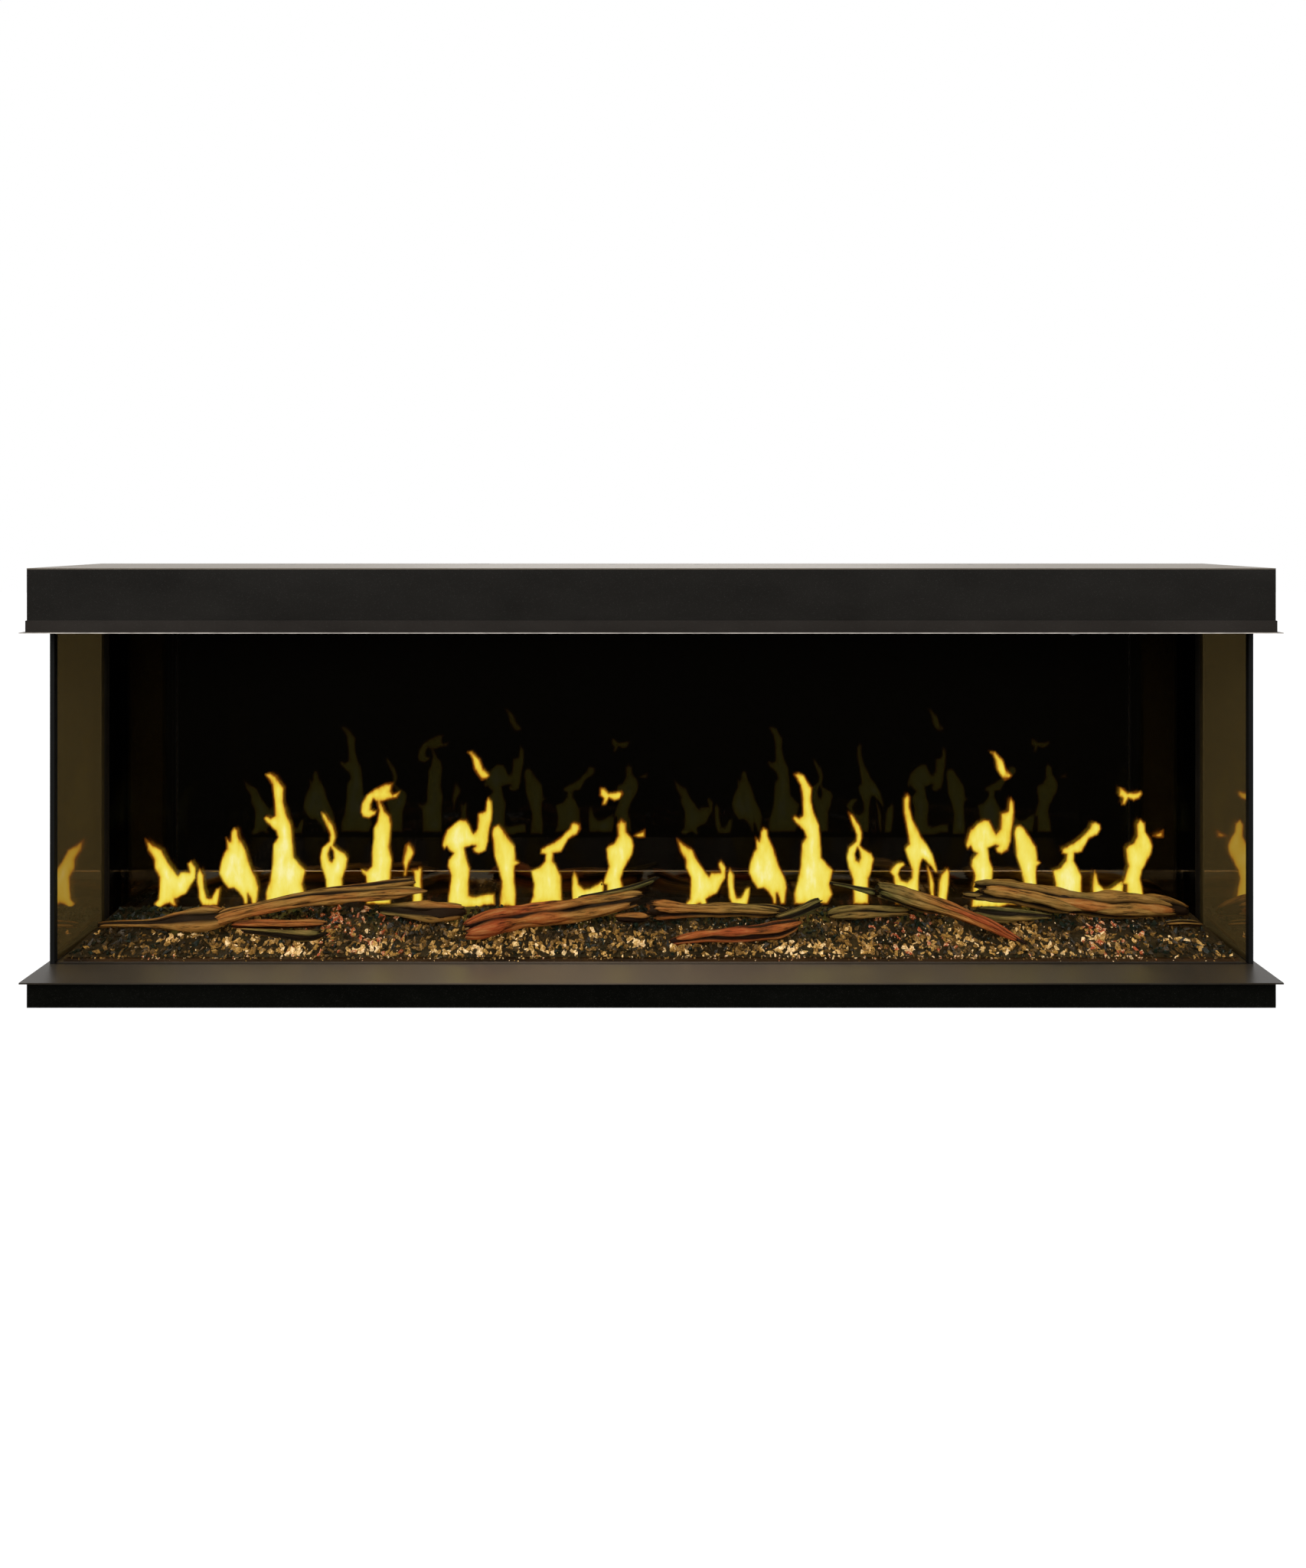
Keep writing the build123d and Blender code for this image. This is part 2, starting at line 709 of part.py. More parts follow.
with BuildPart() as light_boards:
    with BuildSketch(Plane((0, board_mid_y, steel + carrier_height))):
        with GridLocations(board_pitch, 0, board_count, 1):
            Rectangle(board_length, board_width)
    extrude(amount=board)
    with BuildSketch(Plane((0, board_mid_y, steel + carrier_height + board))):
        with GridLocations(board_pitch, 0, board_count, 1):
            with GridLocations(lamp_pitch_x, lamp_pitch_y, lamps_along, lamps_across):
                Rectangle(lamp_size, lamp_size)
    extrude(amount=lamp_height)
pieces["light_boards"] = light_boards


def station_point(station):
    """Centre of a log's section: its lowest side rests on the bed unless the station lifts it."""
    x_share, depth_share, lift_share, radius_share = station
    rest = bed_top(depth_share) + radius_share * opening_height + gap
    depth_y = bed_front + depth_share * bed_depth
    return Vector(x_share * half_width, depth_y, rest + lift_share * opening_height)


def bark_outline(radius):
    """Corners of a section at their shares of the radius, with the longest reach straight down."""
    corners = []
    for index, share in enumerate(bark_shares):
        angle = 2 * math.pi * index / len(bark_shares) - math.pi / 2
        corners.append((radius * share * math.cos(angle), radius * share * math.sin(angle)))
    return corners


# Driftwood logs: parallel sections joined by flat facets
for name, logs in driftwood_shares.items():
    with BuildPart() as driftwood:
        for stations in logs:
            points = [station_point(station) for station in stations]
            run = points[-1] - points[0]
            level = Vector(0, 0, 1).cross(run)
            sections = []
            for point, station in zip(points, stations):
                section_plane = Plane(origin=point, x_dir=level, z_dir=run)
                outline = bark_outline(station[-1] * opening_height)
                sections.append([section_plane.from_local_coords(Vector(*corner)) for corner in outline])
            facets = [sections[0], sections[-1]]
            for near, far in zip(sections, sections[1:]):
                for index in range(len(near)):
                    facets.append([near[index - 1], near[index], far[index], far[index - 1]])
            add(Solid(Shell([Face(Wire.make_polygon(facet)) for facet in facets])))
    pieces[f"driftwood_{name}"] = driftwood


def fan_plane(x):
    """Plane square to the blower's axis, with its origin on the axis."""
    return Plane(origin=(x, fan_y, fan_z), x_dir=(0, 1, 0), z_dir=(1, 0, 0))


# Blower wheel: bent blades between discs, on two stub shafts
with BuildSketch() as blade:
    Polygon(
        (-blade_depth / 2, 0),
        (0, blade_sag - blade_thickness),
        (blade_depth / 2, 0),
        (blade_flat_share * blade_depth / 2, blade_sag),
        (-blade_flat_share * blade_depth / 2, blade_sag),
        align=None,
    )

bay = (fan_length - disc) / bay_count
shaft_left = -housing_half - bush_length + housing_wall
shaft_right = housing_half + motor_length
with BuildPart() as blower_wheel:
    for index in range(bay_count + 1):
        with BuildSketch(fan_plane(-fan_half + index * bay)):
            Circle(fan_radius)
            if 0 < index < bay_count:
                Circle(fan_radius - blade_depth - disc, mode=Mode.SUBTRACT)
        extrude(amount=disc)
    with BuildSketch(fan_plane(-fan_half + disc)):
        with PolarLocations(fan_radius - blade_depth / 2 - disc / 2, blade_count):
            add(blade.sketch)
    extrude(amount=fan_length - 2 * disc)
    with BuildSketch(fan_plane(shaft_left)):
        Circle(shaft_radius)
    extrude(amount=-fan_half - shaft_left)
    with BuildSketch(fan_plane(fan_half)):
        Circle(shaft_radius)
    extrude(amount=shaft_right - fan_half)
pieces["blower_wheel"] = blower_wheel

# Scroll housing and duct, folded round the wheel and over the glass channel, down to the outlet
tongue_y = fan_y - tongue_share * scroll_radius
with BuildPart() as blower_housing:
    for end_x in (-housing_half, housing_half - housing_wall):
        with BuildSketch(Plane.YZ.offset(end_x)):
            with BuildLine():
                Polyline((fan_y, fan_z - scroll_radius), (ramp_y, duct_floor), (outlet_back, duct_floor))
                Polyline((outlet_back, duct_floor), (outlet_back, ceiling_top), (outlet_front, ceiling_top))
                Line((outlet_front, ceiling_top), (outlet_front, duct_top - duct_bend))
                RadiusArc(
                    (outlet_front, duct_top - duct_bend),
                    (outlet_front + duct_bend, duct_top),
                    duct_bend,
                )
                Polyline(
                    (outlet_front + duct_bend, duct_top),
                    (tongue_y, duct_top),
                    (fan_y, fan_z + scroll_radius),
                )
                CenterArc((fan_y, fan_z), scroll_radius, 90, -180)
            make_face()
            with Locations((fan_y, fan_z)):
                Circle(bush_radius, mode=Mode.SUBTRACT)
        extrude(amount=housing_wall)
    with BuildSketch(Plane.YZ.offset(-housing_half + housing_wall)):
        with BuildLine():
            CenterArc((fan_y, fan_z), scroll_radius, 0, -90)
            Polyline(
                (fan_y, fan_z - scroll_radius),
                (ramp_y, duct_floor),
                (outlet_back, duct_floor),
                (outlet_back, ceiling_top),
            )
        trace(line_width=housing_wall)
    extrude(amount=2 * (housing_half - housing_wall))
    with BuildSketch(Plane.YZ.offset(-housing_half + housing_wall)):
        with BuildLine():
            Line((tongue_y, duct_top), (outlet_front + duct_bend, duct_top))
            RadiusArc(
                (outlet_front + duct_bend, duct_top),
                (outlet_front, duct_top - duct_bend),
                -duct_bend,
            )
            Line((outlet_front, duct_top - duct_bend), (outlet_front, ceiling_top))
        trace(line_width=housing_wall)
    extrude(amount=2 * (housing_half - housing_wall))
pieces["blower_housing"] = blower_housing

with BuildPart() as blower_bearing:
    with BuildSketch(fan_plane(shaft_left)):
        Circle(bush_radius)
        Circle(shaft_radius + shaft_play, mode=Mode.SUBTRACT)
    extrude(amount=bush_length)
pieces["blower_bearing"] = blower_bearing

with BuildPart() as blower_motor:
    with BuildSketch(fan_plane(housing_half)):
        Rectangle(motor_flange, 2 * motor_radius)
    extrude(amount=steel)
    with BuildSketch(fan_plane(housing_half)):
        Circle(motor_radius)
    extrude(amount=motor_length)
    with BuildSketch(fan_plane(housing_half + motor_length)):
        Circle(motor_boss_radius)
    extrude(amount=motor_boss_length)
    with BuildSketch(fan_plane(housing_half)):
        Circle(shaft_radius + shaft_play)
    extrude(amount=motor_length + gap, mode=Mode.SUBTRACT)
pieces["blower_motor"] = blower_motor

# Finned heating element across the duct
heater_y = (ramp_y + outlet_back) / 2
heater_z = duct_floor + housing_wall / 2
heater_height = duct_height - housing_wall
fin_span = outlet_length - 2 * heater_end
with BuildPart(Plane((0, heater_y, heater_z))) as heating_element:
    with GridLocations(outlet_length - heater_end, 0, 2, 1):
        Box(heater_end, heater_depth, heater_height, align=on_floor)
    with Locations(*[(0, 0, share * heater_height) for share in heater_bar_shares]):
        Box(fin_span, heater_bar, heater_bar)
    with GridLocations(fin_span / heater_fin_count, 0, heater_fin_count, 1):
        Box(heater_fin, heater_depth, heater_height, align=on_floor)
pieces["heating_element"] = heating_element

# Control strip: bezel, buttons, their board, and the rocker switch in its housing
button_x = control_x + window_length / 2 - window_gap - strip_length / 2
rocker_x = control_x - window_length / 2 + window_gap + housing_length / 2
bezel_bottom = ceiling_bottom - bezel_thickness
with BuildPart() as control_bezel:
    with BuildSketch(Plane((control_x, outlet_y, bezel_bottom))):
        Rectangle(window_length + 2 * bezel_lip, window_width + 2 * bezel_side_lip)
        with Locations((button_x - control_x, 0)):
            with GridLocations(button_pitch, 0, button_count, 1):
                Circle(button_radius + gap, mode=Mode.SUBTRACT)
        with Locations((rocker_x - control_x, 0)):
            Rectangle(rocker_window, rocker_width + 2 * rocker_play, mode=Mode.SUBTRACT)
    extrude(amount=bezel_thickness)
pieces["control_bezel"] = control_bezel

for index in range(button_count):
    place_x = button_x + (index - (button_count - 1) / 2) * button_pitch
    with BuildPart(Plane((place_x, outlet_y, bezel_bottom - button_proud))) as push_button:
        Cylinder(button_radius, button_proud + bezel_thickness + button_stem, align=on_floor)
        with Locations((0, 0, button_proud + bezel_thickness + gap)):
            Box(button_collar_width, button_collar_width, button_collar, align=on_floor)
    pieces[f"push_button_{index + 1}"] = push_button

switch_z = ceiling_bottom + button_stem + button_travel + gap
board_z = switch_z + switch_height
with BuildPart() as button_board:
    with BuildSketch(Plane((button_x, outlet_y, board_z))):
        Rectangle(strip_length, window_width - 2 * gap)
    extrude(amount=board)
    with BuildSketch(Plane((button_x, outlet_y, ceiling_bottom))):
        with GridLocations(strip_length - 2 * post_radius, 0, 2, 1):
            RegularPolygon(post_radius, hex_sides)
    extrude(amount=board_z - ceiling_bottom)
    with BuildSketch(Plane((button_x, outlet_y, switch_z))):
        with GridLocations(button_pitch, 0, button_count, 1):
            Rectangle(switch_size, switch_size)
    extrude(amount=switch_height)
pieces["button_board"] = button_board

rocker_z = bezel_bottom - rocker_proud + rocker_height
with BuildPart(Plane((rocker_x, outlet_y, ceiling_bottom))) as rocker_housing:
    Box(housing_length, housing_width, switch_depth, align=on_floor)
    Box(
        rocker_window,
        housing_width - 2 * switch_wall,
        switch_depth - switch_wall,
        align=on_floor,
        mode=Mode.SUBTRACT,
    )
    with BuildSketch(Plane((rocker_x, outlet_y, rocker_z), x_dir=(1, 0, 0), z_dir=(0, -1, 0))):
        Circle(pivot_radius + shaft_play)
    extrude(amount=housing_width, both=True, mode=Mode.SUBTRACT)
pieces["rocker_housing"] = rocker_housing

# The rocker is drawn tilted to its off position, about the pivot
tilt = math.radians(rocker_tilt)
rocker_plane = Plane(
    origin=(rocker_x, outlet_y, rocker_z),
    x_dir=(math.cos(tilt), 0, math.sin(tilt)),
    z_dir=(0, -1, 0),
)
with BuildPart() as power_rocker:
    with BuildSketch(rocker_plane):
        with BuildLine():
            Polyline(
                (-rocker_length / 2, -rocker_height),
                (-rocker_length / 2, -rocker_height / 2),
                (-2 * pivot_radius, pivot_radius),
                (2 * pivot_radius, pivot_radius),
                (rocker_length / 2, -rocker_height / 2),
                (rocker_length / 2, -rocker_height),
            )
            ThreePointArc(
                (rocker_length / 2, -rocker_height),
                (0, -rocker_height + rocker_play),
                (-rocker_length / 2, -rocker_height),
            )
        make_face()
    extrude(amount=rocker_width / 2, both=True)
    with BuildSketch(rocker_plane):
        Circle(pivot_radius)
    extrude(amount=rocker_width / 2 + pivot_length, both=True)
pieces["power_rocker"] = power_rocker

# Control board and power supply on the ceiling panel
circuit_x = circuit_share * half_width
circuit_y = (wall_y + mirror_y) / 2
circuit_pitch_x = circuit_length / circuit_chip_count_x
circuit_pitch_y = circuit_width / circuit_chip_count_y
with BuildPart() as control_board:
    with BuildSketch(Plane((circuit_x, circuit_y, ceiling_top))):
        with GridLocations(circuit_length - 2 * standoff_inset, circuit_width - 2 * standoff_inset, 2, 2):
            RegularPolygon(standoff_radius, hex_sides)
    extrude(amount=standoff_height)
    with BuildSketch(Plane((circuit_x, circuit_y, ceiling_top + standoff_height))):
        Rectangle(circuit_length, circuit_width)
    extrude(amount=board)
    with BuildSketch(Plane((circuit_x, circuit_y, ceiling_top + standoff_height + board))):
        with GridLocations(circuit_pitch_x, circuit_pitch_y, circuit_chip_count_x, circuit_chip_count_y):
            Rectangle(chip_block, chip_block)
    extrude(amount=standoff_height)
pieces["control_board"] = control_board

with BuildPart(Plane((supply_share * half_width, circuit_y, ceiling_top))) as power_supply:
    Box(supply_length, supply_width, supply_height, align=on_floor)
    fillet(power_supply.edges().filter_by(Axis.Z), radius=fold_radius)
    with Locations((0, 0, supply_height)):
        with GridLocations(supply_vent_pitch, 0, supply_vent_count, 1):
            Box(intake_width, supply_width / 2, 2 * steel, mode=Mode.SUBTRACT)
pieces["power_supply"] = power_supply

# Terminal box with its cover behind the cable entry, its block, and the bushing in the rear panel
with BuildPart(Plane((entry_x, back_y - steel, ceiling_top))) as terminal_box:
    Box(terminal_length, terminal_depth, terminal_height, align=(Align.CENTER, Align.MAX, Align.MIN))
    with Locations((0, 0, steel)):
        Box(
            terminal_length - 2 * steel,
            terminal_depth - steel,
            terminal_height,
            align=(Align.CENTER, Align.MAX, Align.MIN),
            mode=Mode.SUBTRACT,
        )
    with Locations((0, 0, terminal_height)):
        Box(terminal_length, terminal_depth, steel, align=(Align.CENTER, Align.MAX, Align.MIN))
pieces["terminal_box"] = terminal_box

block_y = back_y - steel - terminal_depth + steel + terminal_block_width
with BuildPart(Plane((entry_x, block_y, ceiling_top + steel))) as terminal_block:
    Box(terminal_block_length, terminal_block_width, terminal_block_height, align=on_floor)
    with Locations((0, 0, terminal_block_height / 2)):
        with GridLocations(terminal_block_length / terminal_poles, 0, terminal_poles, 1):
            Box(
                terminal_block_length / terminal_poles - 2 * steel,
                terminal_block_width / 2,
                terminal_block_height,
                align=on_floor,
                mode=Mode.SUBTRACT,
            )
pieces["terminal_block"] = terminal_block

entry_plane = Plane(origin=(entry_x, back_y, entry_z), x_dir=(1, 0, 0), z_dir=(0, -1, 0))
with BuildPart() as cable_bushing:
    with BuildSketch(entry_plane):
        Circle(entry_hole_radius - shaft_play)
        Circle(entry_radius, mode=Mode.SUBTRACT)
    extrude(amount=bushing_length)
    with BuildSketch(entry_plane.offset(steel)):
        Circle(entry_hole_radius + bushing_lip)
        Circle(entry_radius, mode=Mode.SUBTRACT)
    extrude(amount=bushing_lip_thickness)
pieces["cable_bushing"] = cable_bushing

for name, piece in pieces.items():
    piece.part.label = name
    export_step(piece.part, f"parts/{name}.step")
print(len(pieces), "pieces")
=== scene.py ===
"""Dresses the three-sided fireplace: its finishes, flames, ember bed and driftwood, the stage and the camera."""
import logging
import math
from dataclasses import dataclass
from enum import Enum
from typing import Any, Sequence

import bmesh
import bpy
import numpy as np
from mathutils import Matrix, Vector, noise


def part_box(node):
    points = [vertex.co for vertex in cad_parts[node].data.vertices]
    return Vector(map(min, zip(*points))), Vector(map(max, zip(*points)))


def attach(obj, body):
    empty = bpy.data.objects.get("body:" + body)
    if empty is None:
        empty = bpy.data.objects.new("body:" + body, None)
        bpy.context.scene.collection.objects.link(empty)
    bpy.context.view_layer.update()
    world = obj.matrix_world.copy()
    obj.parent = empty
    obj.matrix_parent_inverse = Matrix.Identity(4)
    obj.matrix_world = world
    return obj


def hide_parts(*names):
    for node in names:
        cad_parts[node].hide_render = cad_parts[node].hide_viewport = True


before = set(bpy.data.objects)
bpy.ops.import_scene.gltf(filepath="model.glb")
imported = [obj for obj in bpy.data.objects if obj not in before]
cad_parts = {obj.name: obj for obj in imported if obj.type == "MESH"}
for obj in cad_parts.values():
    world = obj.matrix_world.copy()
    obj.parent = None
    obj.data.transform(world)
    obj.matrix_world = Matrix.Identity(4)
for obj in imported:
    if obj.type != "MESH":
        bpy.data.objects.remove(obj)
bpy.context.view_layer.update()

logging.basicConfig(level=logging.INFO, format="%(message)s")
log = logging.getLogger("fireplace")

Colour = tuple[float, float, float]
Point = tuple[float, float, float]
Span = tuple[float, float]
Stop = tuple[float, Colour]
Face = Sequence[int]
Look = dict[str, Any]
Inputs = dict[str | int, Any] | None
Chance = np.random.Generator

CARCASS = "carcass"
WHITE: Colour = (1.0, 1.0, 1.0)
BLACK: Colour = (0.0, 0.0, 0.0)
GREY_DUST: Colour = (0.3, 0.28, 0.25)
# Most values of a noise lie in this span
BAND: Span = (0.3, 0.7)


@dataclass(frozen=True)
class Signal:
    """A socket to reckon with: each sum, difference or product is a Math node on its sheet."""

    sheet: "NodeSheet"
    socket: bpy.types.NodeSocket

    def __add__(self, other: Any) -> "Signal":
        """Adds a number or another signal."""
        return self.sheet.math("ADD", self, other)

    def __sub__(self, other: Any) -> "Signal":
        """Takes a number or another signal away."""
        return self.sheet.math("SUBTRACT", self, other)

    def __mul__(self, other: Any) -> "Signal":
        """Multiplies by a number or another signal."""
        return self.sheet.math("MULTIPLY", self, other)

    def __abs__(self) -> "Signal":
        """Drops the sign."""
        return self.sheet.math("ABSOLUTE", self)


Signals = dict[str, Signal]


def plug(socket: bpy.types.NodeSocket, value: Any) -> None:
    """Wires a socket from a signal or another socket, or sets its value. A colour may come without its alpha."""
    source = value.socket if isinstance(value, Signal) else value
    if isinstance(source, bpy.types.NodeSocket):
        socket.id_data.links.new(source, socket)
    elif socket.type == "RGBA" and len(source) == len(WHITE):
        socket.default_value = (*source, 1.0)
    else:
        socket.default_value = source


class Effect(Enum):
    """Surface effects that more than one finish uses, each a shader node group, and what each takes."""

    POWDER_COAT = ("Colour", "Roughness", "Peel")
    ROLLED_STEEL = ("Colour", "Roughness", "Spangle", "Streaks")
    DUST_VEIL = ("Amount",)
    # Rims painted bright: worn paint and a painted highlight of the edge
    BRIGHT_EDGE = ("Side", "Front")
    HANDLING = ("Roughness", "Amount")


class NodeSheet:
    """Adds shader nodes to one tree and wires them."""

    def __init__(self, tree: bpy.types.NodeTree) -> None:
        """Keeps the tree that the nodes go into."""
        self.tree = tree

    def add(self, kind: str, inputs: Inputs = None, **settings: Any) -> bpy.types.Node:
        """Adds a node.

        Args:
            kind: The node's type name.
            inputs: Values, or what to wire from, by the input's name or number.
            **settings: Properties of the node.

        Returns:
            The new node.
        """
        node = self.tree.nodes.new(kind)
        for key, value in settings.items():
            setattr(node, key, value)
        for key, value in (inputs or {}).items():
            plug(node.inputs[key], value)
        return node

    def value(self, kind: str, output: str | int, inputs: Inputs = None, **settings: Any) -> Signal:
        """Adds a node and gives the output with this name or number."""
        return Signal(self, self.add(kind, inputs, **settings).outputs[output])

    def math(self, operation: str, first: Any, second: Any = 0.0, clamp: bool = False) -> Signal:
        """Adds a Math node."""
        return self.value("ShaderNodeMath", 0, {0: first, 1: second}, operation=operation, use_clamp=clamp)

    def place(self) -> Signal:
        """Gives the place on the object, in metres."""
        return self.value("ShaderNodeTexCoord", "Object")

    def axis(self, number: int, vector: Signal | None = None) -> Signal:
        """Gives one number of a vector, or of the place on the object."""
        return self.value("ShaderNodeSeparateXYZ", number, {0: vector or self.place()})

    def attribute(self, label: str) -> Signal:
        """Gives the number that a mesh keeps for its points under a label."""
        return self.value("ShaderNodeAttribute", "Fac", attribute_name=label)

    def noise(
        self,
        scale: float = 1.0,
        detail: float = 3.0,
        roughness: float = 0.55,
        stretch: Point | None = None,
        place: Signal | None = None,
    ) -> Signal:
        """Adds a Noise Texture.

        Args:
            scale: Its waves to the metre.
            detail: How many finer layers it has.
            roughness: How strong the finer layers are.
            stretch: Factors of the place along X, Y and Z.
            place: Where to look it up, instead of the place on the object.

        Returns:
            Its value from 0 to 1.
        """
        vector = place or self.place()
        if stretch:
            vector = self.value("ShaderNodeMapping", 0, {"Vector": vector, "Scale": stretch})
        values = {"Vector": vector, "Scale": scale, "Detail": detail, "Roughness": roughness}
        return self.value("ShaderNodeTexNoise", "Fac", values)

    def cells(self, output: str, scale: float, randomness: float = 1.0, **settings: Any) -> Signal:
        """Adds a Voronoi Texture, whose scale is in cells to the metre, and gives one of its outputs."""
        inputs = {"Vector": self.place(), "Scale": scale, "Randomness": randomness}
        return self.value("ShaderNodeTexVoronoi", output, inputs, **settings)

    def ramp(self, factor: Signal, stops: Sequence[Stop]) -> Signal:
        """Adds a Color Ramp with stops from 0 to 1 and their linear colours."""
        node = self.add("ShaderNodeValToRGB", {"Fac": factor})
        elements = node.color_ramp.elements
        while len(elements) < len(stops):
            elements.new(1.0)
        for element, (place, colour) in zip(elements, stops):
            element.position = place
            element.color = (*colour, 1.0)
        return Signal(self, node.outputs["Color"])

    def spread(self, value: Signal, low: float, high: float, at_low: float = 0.0, at_high: float = 1.0) -> Signal:
        """Maps the span from low to high on another, clamped at its ends."""
        values = {0: value, 1: low, 2: high, 3: at_low, 4: at_high}
        return self.value("ShaderNodeMapRange", 0, values, clamp=True)

    def blend(self, factor: Any, first: Any, second: Any, mode: str = "MIX") -> Signal:
        """Mixes two colours: the first shows at a factor of 0 and the second at 1."""
        inputs = {0: factor, 6: first, 7: second}
        return self.value("ShaderNodeMix", 2, inputs, data_type="RGBA", blend_type=mode)

    def tinted(self, first: Any, second: Any) -> Signal:
        """Multiplies a colour by another or by a number."""
        return self.blend(1.0, first, second, "MULTIPLY")

    def emboss(self, height: Signal, distance: float, strength: float) -> Signal:
        """Turns a height from 0 to 1 into a normal, for a relief this deep in metres."""
        values = {"Height": height, "Distance": distance, "Strength": strength}
        return self.value("ShaderNodeBump", "Normal", values)

    def effect(self, effect: Effect, **values: Any) -> Signals:
        """Puts a shared effect into a material with its own values, and gives the effect's outputs."""
        node = self.add("ShaderNodeGroup", values, node_tree=bpy.data.node_groups[effect.name.lower()])
        return {output.name: Signal(self, output) for output in node.outputs}

    def dusted(self, colour: Signal, amount: float, share: float, dust: Colour = GREY_DUST) -> tuple[Signal, Signal]:
        """Lays dust over a colour.

        Args:
            colour: What the dust lies on.
            amount: How dense the dust's mask is.
            share: How much of the mask tells in the colour.
            dust: The dust's own colour.

        Returns:
            The dusty colour and the dust's mask.
        """
        mask = self.effect(Effect.DUST_VEIL, Amount=amount)["Mask"]
        return self.blend(mask * share, colour, dust), mask


@dataclass
class EffectLibrary:
    """Builds each shared effect once. Its patterns are in waves to the metre."""

    peel: float = 1400.0
    slow: float = 7.0
    fleck: float = 900.0
    spangle: float = 120.0
    dust: float = 30.0
    wear: float = 60.0
    wipe: float = 6.0
    fleck_colour: Colour = (0.12, 0.11, 0.1)

    def build(self) -> None:
        """Builds a node group from the method with each effect's name."""
        for effect in Effect:
            tree = bpy.data.node_groups.new(effect.name.lower(), "ShaderNodeTree")
            sheet = NodeSheet(tree)
            for label in effect.value:
                self.socket(tree, label, "INPUT")
            entry = sheet.add("NodeGroupInput")
            takes = {label: Signal(sheet, entry.outputs[label]) for label in effect.value}
            gives = getattr(self, effect.name.lower())(sheet, takes)
            for label in gives:
                self.socket(tree, label, "OUTPUT")
            sheet.add("NodeGroupOutput", gives)

    def socket(self, tree: bpy.types.NodeTree, label: str, way: str) -> None:
        """Gives a group an input or an output: a colour if it is called so, or a number."""
        kind = "NodeSocketColor" if label == "Colour" else "NodeSocketFloat"
        tree.interface.new_socket(name=label, in_out=way, socket_type=kind)

    def powder_coat(self, sheet: NodeSheet, takes: Signals) -> Signals:
        """Orange peel and slow unevenness of a baked powder coat."""
        slow = sheet.noise(self.slow, 4.0, stretch=(1.0, 1.0, 2.2))
        fleck = sheet.spread(sheet.noise(self.fleck, 1.0), 0.62, 0.78)
        toned = sheet.tinted(takes["Colour"], sheet.spread(slow, *BAND, 0.82, 1.22))
        return {
            "Colour": sheet.blend(fleck * 0.25, toned, self.fleck_colour),
            "Roughness": (slow - 0.5) * 0.25 + takes["Roughness"],
            "Height": sheet.noise(self.peel, 2.0) * takes["Peel"],
        }

    def rolled_steel(self, sheet: NodeSheet, takes: Signals) -> Signals:
        """Rolling streaks and zinc spangle of bare sheet."""
        streak = sheet.noise(1.0, 5.0, 0.6, (3.0, 160.0, 160.0))
        grey = sheet.value("ShaderNodeSeparateColor", 0, {0: sheet.cells("Color", self.spangle)})
        lines = (streak - 0.5) * takes["Streaks"]
        tone = sheet.math("ADD", 1.0, (grey - 0.5) * takes["Spangle"] + lines)
        return {
            "Colour": sheet.tinted(takes["Colour"], tone),
            "Roughness": takes["Roughness"] + lines * 0.5,
            "Height": streak,
        }

    def dust_veil(self, sheet: NodeSheet, takes: Signals) -> Signals:
        """Mask of dust that settles on faces that look up."""
        up = sheet.axis(2, sheet.value("ShaderNodeNewGeometry", "Normal"))
        patch = sheet.spread(sheet.noise(self.dust, 6.0), 0.35, 0.75, 0.2, 1.0)
        return {"Mask": patch * sheet.spread(up, 0.3, 0.95) * takes["Amount"]}

    def bright_edge(self, sheet: NodeSheet, takes: Signals) -> Signals:
        """Mask of a rim painted bright past a reach from the middle to the sides and to the front: partly paint worn
        off the rim, partly a painted highlight of the edge catching the light.
        """
        side = sheet.math("GREATER_THAN", abs(sheet.axis(0)), takes["Side"])
        front = sheet.math("LESS_THAN", sheet.axis(1), takes["Front"])
        worn = sheet.spread(sheet.noise(self.wear, 5.0), *BAND, 0.55, 1.0)
        return {"Mask": sheet.math("MAXIMUM", side, front) * worn}

    def handling(self, sheet: NodeSheet, takes: Signals) -> Signals:
        """Faint wipe marks that change how a glossy face shines."""
        wipe = sheet.noise(self.wipe, 5.0, stretch=(2.0, 2.0, 9.0))
        mask = sheet.spread(wipe, 0.5, 0.8) * takes["Amount"]
        return {"Roughness": takes["Roughness"] + mask, "Mask": mask}


@dataclass(frozen=True)
class Finish:
    """A named surface, built as a material."""

    name: str
    see_through = False

    def look(self, sheet: NodeSheet) -> Look:
        """Gives what the shader's sockets are set to or wired from."""
        raise NotImplementedError

    def build(self) -> bpy.types.Material:
        """Makes the material."""
        material = bpy.data.materials.new(self.name)
        material.use_nodes = True
        shader = material.node_tree.nodes["Principled BSDF"]
        for label, value in self.look(NodeSheet(material.node_tree)).items():
            plug(shader.inputs[label], value)
        if self.see_through:
            material.surface_render_method = "BLENDED"
        return material


